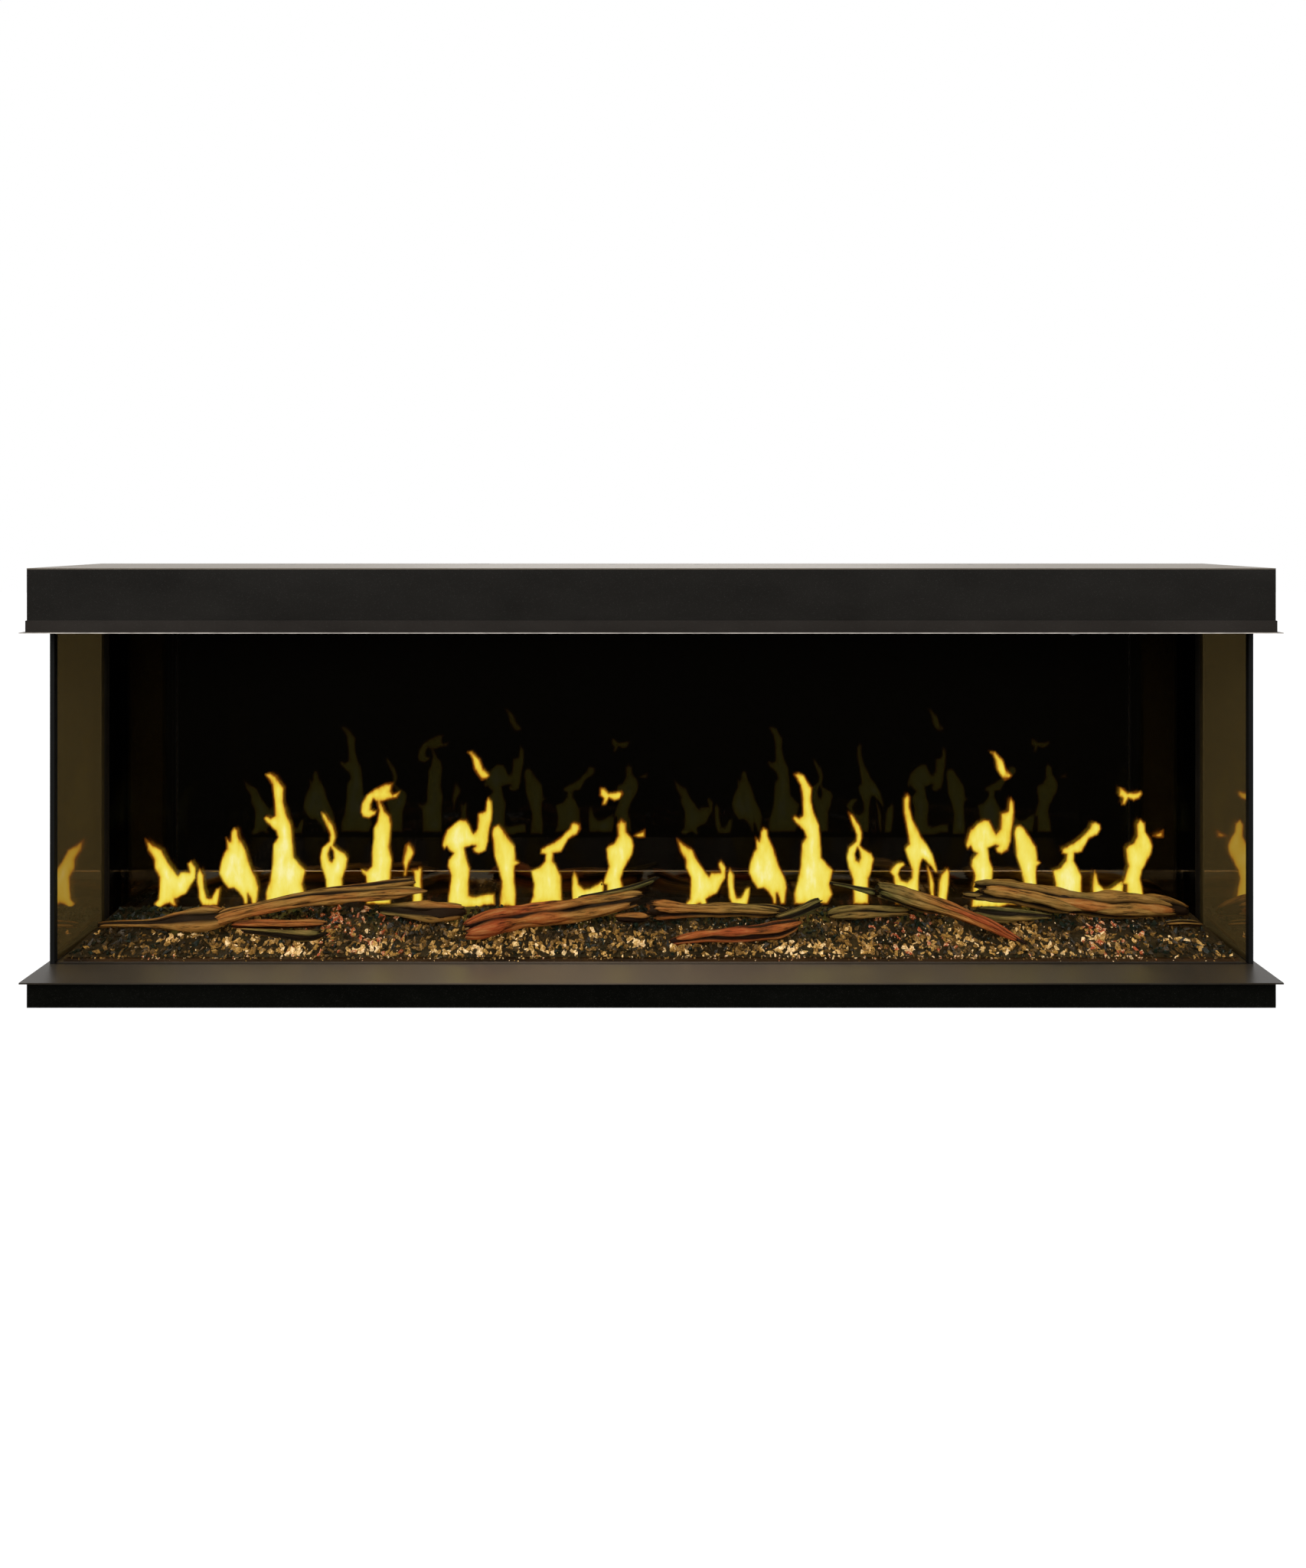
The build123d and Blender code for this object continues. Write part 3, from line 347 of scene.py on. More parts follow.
@dataclass(frozen=True)
class PaintedSteel(Finish):
    """Powder-coated sheet, with dust on what looks up and, where asked, a bright rim that is partly worn paint and
    partly a painted highlight, and a painted glow of the fire on its middle.
    """

    colour: Colour = (0.0095, 0.0078, 0.0056)
    roughness: float = 0.42
    peel: float = 0.6
    shine: float = 0.35
    dust: float = 0.25
    # Past these reaches the rim is painted bright: worn paint and a painted highlight of the edge
    rim_side: float = 9.0
    rim_front: float = -9.0
    rim_highlight_colour: Colour = (0.85, 0.78, 0.7)
    # Painted glow of the fire on the middle of the face: its strength, centre across, reach and colour
    middle: float = 0.0
    painted_glow_at: float = -0.08
    painted_glow_reach: float = 0.66
    painted_glow_colour: Colour = (0.25, 0.19, 0.135)

    def look(self, sheet: NodeSheet) -> Look:
        """Gives the shader's values."""
        coat = sheet.effect(Effect.POWDER_COAT, Colour=self.colour, Roughness=self.roughness, Peel=self.peel)
        dusty, dust = sheet.dusted(coat["Colour"], self.dust, 0.12)
        # Painted highlight and worn paint on the rim
        rim = sheet.effect(Effect.BRIGHT_EDGE, Side=self.rim_side, Front=self.rim_front)["Mask"]
        colour = sheet.blend(rim, dusty, self.rim_highlight_colour)
        # Painted glow: the fire's light on the middle of the face, lighter towards the centre
        if self.middle:
            reach = abs(sheet.axis(0) - self.painted_glow_at)
            share = sheet.spread(reach, 0.0, self.painted_glow_reach, self.middle, 0.0)
            colour = sheet.blend(share, colour, self.painted_glow_colour)
        return {
            "Base Color": colour,
            "Roughness": dust * 0.15 + coat["Roughness"],
            "Specular IOR Level": self.shine,
            "Normal": sheet.emboss(coat["Height"], 0.00006, 0.5),
        }


@dataclass(frozen=True)
class BareSteel(Finish):
    """Bare or galvanised sheet with rolling streaks and spangle."""

    colour: Colour = (0.55, 0.52, 0.47)
    roughness: float = 0.38
    spangle: float = 0.12
    streaks: float = 0.35
    metallic: float = 0.85
    dust: float = 0.4
    dust_colour: Colour = (0.42, 0.38, 0.33)

    def look(self, sheet: NodeSheet) -> Look:
        """Gives the shader's values."""
        values = {"Colour": self.colour, "Roughness": self.roughness, "Spangle": self.spangle, "Streaks": self.streaks}
        metal = sheet.effect(Effect.ROLLED_STEEL, **values)
        colour, dust = sheet.dusted(metal["Colour"], self.dust, 0.3, self.dust_colour)
        return {
            "Base Color": colour,
            "Roughness": dust * 0.2 + metal["Roughness"],
            "Metallic": self.metallic,
            "Normal": sheet.emboss(metal["Height"], 0.00004, 0.4),
        }


@dataclass(frozen=True)
class Glazing(Finish):
    """Glass that lets light through more where it is met squarely, and less at a slant."""

    tint: Colour = WHITE
    body: Colour = (0.02, 0.02, 0.018)
    square_cover: float = 0.02
    slant_cover: float = 0.05
    slant_from: float = 0.2
    slant_to: float = 0.45
    roughness: float = 0.02
    shine: float = 0.5
    index: float = 1.5
    silver: float = 0.0
    film: Colour = WHITE
    outer: float = 0.0
    outer_film: Colour = (0.12, 0.1, 0.075)
    smears: float = 0.015
    smear_colour: Colour = (0.3, 0.29, 0.26)
    see_through = True

    def look(self, sheet: NodeSheet) -> Look:
        """Gives the shader's values. The film has its own colour past a reach from the middle, where asked."""
        wipe = sheet.effect(Effect.HANDLING, Roughness=self.roughness, Amount=self.smears)
        film: Any = self.film
        if self.outer:
            outside = sheet.math("GREATER_THAN", abs(sheet.axis(0)), self.outer)
            film = sheet.blend(outside, self.film, self.outer_film)
        return {
            "Base Color": sheet.blend(wipe["Mask"], self.body, self.smear_colour),
            "Roughness": wipe["Roughness"],
            "Metallic": self.silver,
            "IOR": self.index,
            "Specular IOR Level": self.shine,
            "Specular Tint": film,
        }

    def build(self) -> bpy.types.Material:
        """Makes the material and mixes its shader with clear glass."""
        material = super().build()
        sheet, nodes = NodeSheet(material.node_tree), material.node_tree.nodes
        slant = sheet.value("ShaderNodeLayerWeight", "Facing", {"Blend": 0.5})
        cover = sheet.spread(slant, self.slant_from, self.slant_to, self.square_cover, self.slant_cover)
        clear = sheet.value("ShaderNodeBsdfTransparent", 0, {"Color": self.tint})
        shader = nodes["Principled BSDF"].outputs[0]
        mix = sheet.value("ShaderNodeMixShader", 0, {0: cover, 1: clear, 2: shader})
        plug(nodes["Material Output"].inputs["Surface"], mix)
        return material


@dataclass(frozen=True)
class GlossBlack(Finish):
    """Black glass or lacquer with faint wipe marks."""

    colour: Colour = (0.0006, 0.0006, 0.0005)
    roughness: float = 0.03
    shine: float = 0.2
    index: float = 1.5
    film: Colour = WHITE
    smears: float = 0.03

    def look(self, sheet: NodeSheet) -> Look:
        """Gives the shader's values."""
        wipe = sheet.effect(Effect.HANDLING, Roughness=self.roughness, Amount=self.smears)
        cloud = sheet.spread(sheet.noise(4.0, 4.0), *BAND, 0.6, 1.5)
        return {
            "Base Color": sheet.tinted(self.colour, cloud),
            "Roughness": wipe["Roughness"],
            "IOR": self.index,
            "Specular IOR Level": self.shine,
            "Specular Tint": self.film,
        }


@dataclass(frozen=True)
class MouldedPiece(Finish):
    """Plastic, rubber or ceramic with the fine texture of its mould."""

    colour: Colour
    roughness: float = 0.5
    shine: float = 0.4
    texture: float = 1800.0
    relief: float = 0.00004
    mottle: float = 0.15

    def look(self, sheet: NodeSheet) -> Look:
        """Gives the shader's values."""
        grain = sheet.noise(self.texture, 2.0)
        slow = sheet.spread(sheet.noise(25.0, 4.0), *BAND, 1.0 - self.mottle, 1.0 + self.mottle)
        return {
            "Base Color": sheet.dusted(sheet.tinted(self.colour, slow), 0.3, 0.1)[0],
            "Roughness": (grain - 0.5) * 0.15 + self.roughness,
            "Specular IOR Level": self.shine,
            "Normal": sheet.emboss(grain, self.relief, 0.6),
        }


@dataclass(frozen=True)
class BoardLacquer(Finish):
    """Circuit board with printed tracks under green lacquer."""

    lacquer: Colour = (0.008, 0.05, 0.02)
    track: Colour = (0.02, 0.11, 0.045)
    solder: Colour = (0.5, 0.48, 0.42)
    track_scale: float = 160.0
    pad_scale: float = 90.0

    def look(self, sheet: NodeSheet) -> Look:
        """Gives the shader's values."""
        tracks = sheet.cells("Distance", self.track_scale, distance="MANHATTAN")
        line = sheet.spread(tracks, 0.42, 0.5)
        pad = sheet.spread(sheet.cells("Distance", self.pad_scale, 0.35), 0.12, 0.16, 1.0, 0.0)
        printed = sheet.blend(pad, sheet.blend(line, self.lacquer, self.track), self.solder)
        return {
            "Base Color": sheet.dusted(printed, 0.3, 0.2)[0],
            "Metallic": pad * 0.8,
            "Roughness": 0.4,
            "Normal": sheet.emboss(line, 0.00005, 0.5),
        }


@dataclass(frozen=True)
class GlowingSheet(Finish):
    """Amber acrylic that carries the light of the boards under it."""

    colour: Colour = (0.05, 0.026, 0.009)
    glow: Colour = (0.42, 0.17, 0.035)
    dim_glow: Colour = (0.02, 0.008, 0.002)
    strength: float = 0.04

    def look(self, sheet: NodeSheet) -> Look:
        """Gives the shader's values."""
        pool = sheet.noise(stretch=(14.0, 14.0, 14.0))
        dim = tuple(0.5 * part for part in self.colour)
        return {
            "Base Color": sheet.ramp(pool, ((0.3, dim), (0.7, self.colour))),
            "Emission Color": sheet.ramp(pool, ((0.25, self.dim_glow), (0.75, self.glow))),
            "Emission Strength": self.strength,
            "Roughness": sheet.effect(Effect.HANDLING, Roughness=0.35, Amount=0.2)["Roughness"],
        }


@dataclass(frozen=True)
class EmberGlass(Finish):
    """Crushed amber glass and charcoal, whose chips each have their own tone and glow: the glow is partly the light of
    the boards below and partly painted light, and the cream tones are painted glints.
    """

    glow_strength: float = 1.0
    dust_colour: Colour = (0.3, 0.26, 0.2)
    # The cream stop at 0.93 is a painted glint
    tones: tuple[Stop, ...] = (
        (0.0, (0.009, 0.02, 0.01)),
        (0.08, (0.01, 0.009, 0.004)),
        (0.28, (0.04, 0.026, 0.009)),
        (0.5, (0.17, 0.09, 0.022)),
        (0.68, (0.36, 0.2, 0.045)),
        (0.82, (0.62, 0.38, 0.11)),
        (0.93, (0.9, 0.7, 0.42)),
        (0.955, (0.55, 0.17, 0.055)),
        (1.0, (0.36, 0.06, 0.018)),
    )
    # Glow by tone: partly the light of the boards below, partly painted light where the hood keeps the lamps' light
    # off
    glow_and_painted_light: tuple[Stop, ...] = (
        (0.0, BLACK),
        (0.28, (0.014, 0.007, 0.002)),
        (0.5, (0.085, 0.04, 0.008)),
        (0.72, (0.24, 0.12, 0.024)),
        (0.93, (0.6, 0.42, 0.2)),
        (0.955, (0.22, 0.06, 0.014)),
        (1.0, (0.12, 0.018, 0.004)),
    )

    def look(self, sheet: NodeSheet) -> Look:
        """Gives the shader's values."""
        fleck = sheet.noise(400.0, 4.0, 0.7)
        tone = sheet.math("ADD", sheet.attribute("tone"), (fleck - 0.5) * 0.5, clamp=True)
        patch = sheet.spread(fleck, 0.4, 0.66, 0.15, 1.5)
        return {
            "Base Color": sheet.dusted(sheet.ramp(tone, self.tones), 0.25, 0.1, self.dust_colour)[0],
            "Emission Color": sheet.tinted(sheet.ramp(tone, self.glow_and_painted_light), patch),
            "Emission Strength": self.glow_strength,
            "Roughness": sheet.spread(fleck, *BAND, 0.25, 0.55),
            "Specular IOR Level": 0.25,
            "Normal": sheet.emboss(fleck, 0.0006, 0.5),
        }


@dataclass(frozen=True)
class FlamePicture(Finish):
    """The lit part of a flame screen: orange at the rim of each flame, yellow and cream within."""

    strength: float = 1.0
    lick: float = 0.75
    broad: float = 0.65
    mean: float = 0.7
    fires: tuple[Stop, ...] = (
        (0.0, (0.2, 0.06, 0.004)),
        (0.16, (0.55, 0.26, 0.02)),
        (0.34, (0.8, 0.55, 0.045)),
        (0.55, (0.87, 0.7, 0.08)),
        (0.8, (0.92, 0.8, 0.16)),
        (1.0, (0.97, 0.9, 0.4)),
    )
    see_through = True

    def look(self, sheet: NodeSheet) -> Look:
        """Gives the shader's values."""
        lick = sheet.noise(stretch=(95.0, 1.0, 34.0)) * self.lick
        licks = lick + sheet.noise(detail=2.0, stretch=(30.0, 1.0, 12.0)) * self.broad
        warm = sheet.math("ADD", sheet.attribute("warmth"), licks - self.mean, clamp=True)
        return {
            "Base Color": BLACK,
            "Specular IOR Level": 0.0,
            "Roughness": 1.0,
            "Emission Color": sheet.ramp(warm, self.fires),
            "Emission Strength": self.strength,
            "Alpha": sheet.attribute("cover"),
        }


@dataclass(frozen=True)
class WeatheredWood(Finish):
    """Carved driftwood: painted shade in the grooves along the grain and between strands, paler raised fibres with a
    painted highlight, and green-grey, tan and reddish runs.
    """

    runs: tuple[Stop, ...] = (
        (0.0, (0.12, 0.115, 0.028)),
        (0.26, (0.24, 0.165, 0.04)),
        (0.55, (0.46, 0.225, 0.045)),
        (0.78, (0.52, 0.17, 0.032)),
        (1.0, (0.48, 0.095, 0.022)),
    )
    groove: Colour = (0.008, 0.004, 0.0015)
    pale: Colour = (0.78, 0.47, 0.14)
    dust_colour: Colour = (0.42, 0.33, 0.2)

    def look(self, sheet: NodeSheet) -> Look:
        """Gives the shader's values."""
        place = sheet.value("ShaderNodeUVMap", "UV", uv_map="grain")
        fibre = sheet.noise(1.0, 6.0, 0.65, (30.0, 26.0, 1.0), place)
        fine = sheet.noise(1.0, 4.0, 0.7, (90.0, 60.0, 1.0), place)
        patch = sheet.noise(stretch=(3.0, 16.0, 1.0), place=place)
        hue = sheet.math("ADD", sheet.attribute("hue"), (patch - 0.5) * 0.75, clamp=True)
        # Paler on the raised fibres: bleached wood with a painted highlight
        lit = sheet.blend(sheet.spread(fibre, 0.52, 0.72, 0.0, 0.6), sheet.ramp(hue, self.runs), self.pale)
        # Painted shade in the cracks along the grain and in the grooves between strands
        crack = sheet.spread(fibre, 0.36, 0.5, 0.95, 0.0)
        painted_shading = sheet.math("MAXIMUM", crack, sheet.attribute("groove") * 0.97)
        wood = sheet.blend(painted_shading, lit, self.groove)
        return {
            "Base Color": sheet.dusted(wood, 0.2, 0.08, self.dust_colour)[0],
            "Roughness": sheet.spread(fibre, *BAND, 0.9, 0.65),
            "Specular IOR Level": 0.15,
            "Normal": sheet.emboss(fibre + fine * 0.4, 0.0014, 0.8),
        }


def linked(name: str, data: bpy.types.ID) -> bpy.types.Object:
    """Makes an object of a mesh, a light or a camera and puts it in the scene."""
    thing = bpy.data.objects.new(name, data)
    bpy.context.scene.collection.objects.link(thing)
    return thing


def mesh_object(name: str, points: np.ndarray, faces: Sequence[Face], finish: bpy.types.Material) -> bpy.types.Object:
    """Makes a mesh piece in the shared frame, of points in metres and faces that number their points."""
    mesh = bpy.data.meshes.new(name)
    mesh.from_pydata(points.tolist(), [], [list(face) for face in faces])
    mesh.materials.append(finish)
    return linked(name, mesh)


def net(columns: int, rows: int) -> np.ndarray:
    """Numbers the corners of each cell between columns and rows of points."""
    first = (np.arange(columns - 1)[:, None] * rows + np.arange(rows - 1)).reshape(-1, 1)
    return first + (0, rows, rows + 1, 1)


def settle(piece: bpy.types.Object, body: str, slot: str, *nodes: str) -> None:
    """Lets a piece ride on a body and hides the nodes it stands for."""
    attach(piece, body)
    if nodes:
        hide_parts(*nodes)
    log.info("%s: %d faces, rides on %s", piece.name, len(piece.data.polygons), body)


@dataclass
class Shape:
    """Points and faces, and the numbers kept for each point under a label that a finish reads."""

    points: np.ndarray
    faces: Sequence[Face]
    values: dict[str, np.ndarray]

    @classmethod
    def joined(cls, shapes: Sequence["Shape"]) -> "Shape":
        """Joins shapes in their order."""
        faces: list[Face] = []
        offset = 0
        for shape in shapes:
            faces += [tuple(index + offset for index in face) for face in shape.faces]
            offset += len(shape.points)
        values = {label: np.concatenate([shape.values[label] for shape in shapes]) for label in shapes[0].values}
        return cls(np.vstack([shape.points for shape in shapes]), faces, values)

    def piece(self, name: str, finish: bpy.types.Material) -> bpy.types.Object:
        """Makes the piece, with an attribute for each label."""
        piece = mesh_object(name, self.points, self.faces, finish)
        for label, values in self.values.items():
            attribute = piece.data.attributes.new(label, "FLOAT", "POINT")
            attribute.data.foreach_set("value", values.astype(np.float32))
        return piece


# Corners of each flame in millimetres: across from the middle of its screen, and up from the floor
FLAMES: dict[str, tuple[int, ...]] = {
    "slanted": (
        -358, 155, -344, 145, -333, 138, -326, 123, -313, 104, -309, 99, -305, 105, -292, 105, -295, 118, -290, 122,
        -283, 112, -283, 97, -290, 87, -297, 74, -309, 67, -313, 65, -311, 55, -316, 54, -322, 59, -328, 57,
        -335, 53, -342, 54, -344, 59, -338, 65, -337, 78, -337, 97, -344, 112, -345, 123, -353, 136,
    ),
    "cup": (
        -277, 111, -271, 101, -271, 82, -266, 67, -260, 67, -252, 81, -247, 82, -248, 69, -250, 56, -262, 55,
        -273, 56, -278, 67, -279, 80, -281, 91, -281, 102,
    ),
    "bulb": (
        -226, 171, -220, 168, -219, 159, -209, 138, -203, 116, -194, 99, -190, 82, -193, 58, -200, 58, -202, 67,
        -206, 74, -206, 58, -211, 58, -213, 67, -219, 76, -226, 82, -235, 81, -243, 93, -248, 104, -246, 119,
        -241, 134, -237, 140, -238, 157, -232, 151, -230, 165,
    ),
    "tall": (
        -180, 250, -173, 252, -164, 248, -158, 238, -152, 230, -153, 210, -149, 193, -141, 174, -139, 149,
        -138, 127, -130, 118, -120, 108, -122, 99, -125, 87, -121, 72, -128, 58, -134, 58, -141, 58, -147, 58,
        -179, 58, -179, 74, -173, 93, -169, 116, -168, 146, -161, 157, -164, 166, -177, 178, -182, 185, -178, 189,
        -172, 185, -166, 189, -167, 213, -170, 234, -175, 243,
    ),
    "eyed": (
        -97, 194, -90, 190, -79, 174, -76, 164, -76, 155, -79, 145, -73, 139, -62, 133, -58, 125, -61, 108, -66, 96,
        -66, 58, -89, 58, -90, 94, -96, 112, -99, 127, -96, 141, -85, 151, -84, 160, -90, 174, -94, 184,
    ),
    "hooked": (
        9, 237, 6, 225, 9, 221, 19, 224, 15, 215, 1, 212, -8, 209, -3, 196, 5, 188, 7, 176, 5, 162, 4, 143, 8, 123,
        6, 108, 5, 58, -10, 58, -30, 58, -31, 98, -37, 106, -38, 110, -30, 108, -22, 114, -22, 135, -19, 155,
        -19, 170, -14, 182, -12, 196, -15, 209, -20, 213, -24, 205, -24, 198, -19, 196, -15, 196, -17, 190,
        -26, 185, -35, 187, -39, 194, -37, 207, -30, 219, -20, 227, -3, 236,
    ),
    "leaf": (
        32, 149, 39, 141, 41, 133, 36, 123, 32, 114, 29, 100, 25, 100, 26, 110, 23, 119, 25, 133, 27, 145,
    ),
    "stub": (
        36, 110, 46, 110, 48, 114, 52, 110, 52, 58, 46, 58, 38, 58, 41, 94, 40, 102,
    ),
    "crane": (
        150, 216, 155, 209, 156, 194, 155, 182, 152, 168, 150, 151, 146, 137, 136, 132, 129, 135, 127, 140,
        131, 144, 126, 145, 115, 141, 118, 125, 123, 110, 121, 86, 122, 71, 132, 68, 144, 72, 159, 73, 160, 57,
        146, 57, 134, 53, 122, 53, 107, 53, 90, 53, 92, 77, 95, 100, 90, 114, 91, 123, 99, 133, 93, 137, 89, 143,
        85, 139, 82, 145, 84, 157, 89, 168, 99, 176, 109, 183, 118, 182, 123, 172, 128, 162, 134, 170, 135, 192,
        146, 196, 147, 209,
    ),
    "spark": (
        119, 283, 126, 283, 138, 272, 143, 258, 152, 248, 148, 244, 141, 241, 134, 250, 129, 258, 127, 272,
        124, 279,
    ),
    "blade": (
        157, 172, 165, 175, 173, 168, 181, 155, 189, 143, 191, 123, 196, 119, 190, 114, 189, 96, 191, 73, 191, 54,
        167, 54, 168, 71, 170, 92, 165, 112, 159, 129, 157, 149, 155, 162,
    ),
    "beckoning": (
        278, 179, 286, 176, 287, 169, 282, 161, 269, 154, 263, 144, 258, 135, 247, 133, 246, 122, 252, 112, 258, 99,
        258, 80, 260, 58, 247, 58, 237, 58, 230, 58, 211, 58, 216, 69, 218, 88, 214, 107, 226, 112, 234, 122,
        235, 131, 228, 133, 229, 140, 245, 148, 260, 159, 271, 170, 273, 177,
    ),
    "low": (
        278, 108, 281, 102, 284, 88, 292, 80, 301, 80, 320, 93, 322, 88, 318, 58, 292, 58, 275, 58, 274, 80,
        275, 97,
    ),
    "wrapped": (
        347, 184, 354, 178, 355, 165, 363, 155, 366, 144, 363, 131, 356, 118, 350, 108, 347, 95, 350, 84, 354, 58,
        341, 58, 326, 58, 326, 86, 320, 88, 324, 101, 329, 114, 326, 127, 325, 140, 329, 145, 337, 148, 342, 159,
        341, 176,
    ),
    "fleck": (
        365, 159, 375, 164, 382, 168, 382, 157, 375, 156,
    ),
    "wing": (
        316, 230, 322, 229, 328, 222, 337, 223, 348, 225, 350, 221, 345, 214, 337, 211, 329, 215, 324, 205,
        319, 205, 321, 214, 315, 219,
    ),
    "forked": (
        -16, 222, -12, 217, -12, 202, -8, 184, -2, 173, 5, 158, 14, 144, 21, 132, 26, 118, 29, 105, 26, 105,
        17, 116, 11, 123, 7, 125, 4, 118, 1, 99, 0, 58, -6, 58, -21, 58, -33, 58, -36, 99, -42, 105, -38, 112,
        -31, 118, -22, 120, -19, 116, -26, 110, -29, 102, -25, 93, -16, 90, -9, 97, -9, 109, -13, 121, -19, 139,
        -16, 144, -13, 147, -15, 161, -18, 176, -21, 193, -21, 213,
    ),
    "thin_leg": (
        14, 116, 20, 106, 24, 89, 25, 58, 21, 58, 17, 82, 16, 96, 13, 109,
    ),
    "right_leg": (
        44, 112, 47, 106, 46, 92, 42, 58, 34, 58, 29, 58, 31, 89, 34, 102, 40, 108,
    ),
}

# Gaps in the flames, measured the same way
FLAME_HOLES: dict[str, tuple[int, ...]] = {
    "eyed": (
        -83, 142, -79, 135, -78, 126, -81, 120, -85, 123, -87, 132,
    ),
}


@dataclass
class FlameScreens:
    """The pictures of fire on two clear screens, which show the same flames but for a few."""

    finish: bpy.types.Material
    screen_half: float = 0.3932
    front_gap: float = 0.0004
    cell: float = 0.0017
    rim: float = 0.003
    core: float = 0.0048
    left_only: tuple[str, ...] = ("hooked", "leaf", "stub")
    right_only: tuple[str, ...] = ("forked", "thin_leg", "right_leg")
    right_scale: float = 0.9735
    right_shift: float = -0.0088
    cool: tuple[str, ...] = ("spark", "leaf", "fleck", "wing")
    cool_loss: float = 0.12
    least_heat: float = 0.12
    inner_heat: float = 0.8
    tip_loss: float = 0.22
    base_loss: float = 0.14

    def build(self) -> None:
        """Makes one sheet of flames for each screen."""
        for side, label in ((-1, "left"), (1, "right")):
            missing = self.right_only if side < 0 else self.left_only
            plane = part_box(f"{label}_flame_screen")[0].y - self.front_gap
            shapes = [self.flame(name, side, plane) for name in FLAMES if name not in missing]
            settle(Shape.joined(shapes).piece(f"{label}_flames", self.finish), CARCASS, "flame_glass")

    def flame(self, name: str, side: int, plane: float) -> Shape:
        """Lays one flame on a screen.

        Args:
            name: The flame's name.
            side: -1 for the left screen, 1 for the right one.
            plane: The sheet's place along Y.

        Returns:
            Its fine grid, with the warmth and the cover of each point.
        """
        corners = self.outline(FLAMES[name])
        points, faces, depth = self.grid(corners, FLAME_HOLES.get(name))
        if side > 0 and name not in self.right_only:
            points[:, 0] = points[:, 0] * self.right_scale + self.right_shift
        base = corners[:, 1].min()
        rise = np.clip((points[:, 1] - base) / (corners[:, 1].max() - base), 0, 1)
        inner = self.inner_heat * (1 - np.exp(-np.clip(depth, 0, None) / self.core))
        heat = inner - self.tip_loss * rise**2 - self.base_loss * (1 - rise) ** 4
        if name in self.cool:
            heat = heat - self.cool_loss
        places = (points[:, 0] + side * self.screen_half, np.full(len(points), plane), points[:, 1])
        cover = np.clip((depth + 0.5 * self.rim) / self.rim, 0, 1)
        return Shape(
            np.column_stack(places), faces, {"warmth": np.clip(self.least_heat + heat, 0, 1), "cover": cover}
        )

    def outline(self, numbers: Sequence[int]) -> np.ndarray:
        """Turns a row of millimetres into corners in metres."""
        return np.array(numbers, float).reshape(-1, 2) / 1000.0

    def grid(self, corners: np.ndarray, hole: Sequence[int] | None) -> tuple[np.ndarray, np.ndarray, np.ndarray]:
        """Lays a fine grid over one flame.

        Args:
            corners: The flame's outline.
            hole: Outline of the gap in it, if it has one.

        Returns:
            The grid's points, its faces, and each point's depth inside the outline.
        """
        low = corners.min(0) - self.rim
        high = corners.max(0) + self.rim
        across = np.arange(low[0], high[0] + self.cell, self.cell)
        up = np.arange(low[1], high[1] + self.cell, self.cell)
        grid = np.stack(np.meshgrid(across, up, indexing="ij"), -1).reshape(-1, 2)
        depth = self.depth(grid, corners)
        if hole:
            depth = np.minimum(depth, -self.depth(grid, self.outline(hole)))
        cells = net(len(across), len(up))
        used, faces = np.unique(cells[depth[cells].max(1) > -0.5 * self.rim], return_inverse=True)
        return grid[used], faces.reshape(-1, 4), depth[used]

    def depth(self, grid: np.ndarray, corners: np.ndarray) -> np.ndarray:
        """Gives each point's distance inside the outline, below zero outside it."""
        tiny = 1e-12
        nearest = np.full(len(grid), 1.0)
        inside = np.zeros(len(grid), bool)
        for start, end in zip(corners, np.roll(corners, -1, axis=0)):
            run = end - start
            share = np.clip(((grid - start) @ run) / max(run @ run, tiny), 0, 1)
            nearest = np.minimum(nearest, np.linalg.norm(grid - start - share[:, None] * run, axis=1))
            above = (start[1] > grid[:, 1]) != (end[1] > grid[:, 1])
            if above.any():
                crossing = start[0] + (grid[:, 1] - start[1]) * run[0] / (run[1] if run[1] else tiny)
                inside ^= above & (grid[:, 0] < crossing)
        return np.where(inside, nearest, -nearest)


@dataclass(frozen=True)
class Log:
    """One log or stick of a node: its runs of colour at both ends, and how many strands it is split into.

    Its stations are in tenths of a millimetre: the middle along X, Y and Z, and the radius.
    """

    node: str
    first_hue: float
    last_hue: float
    strands: int
    stations: tuple[int, ...]


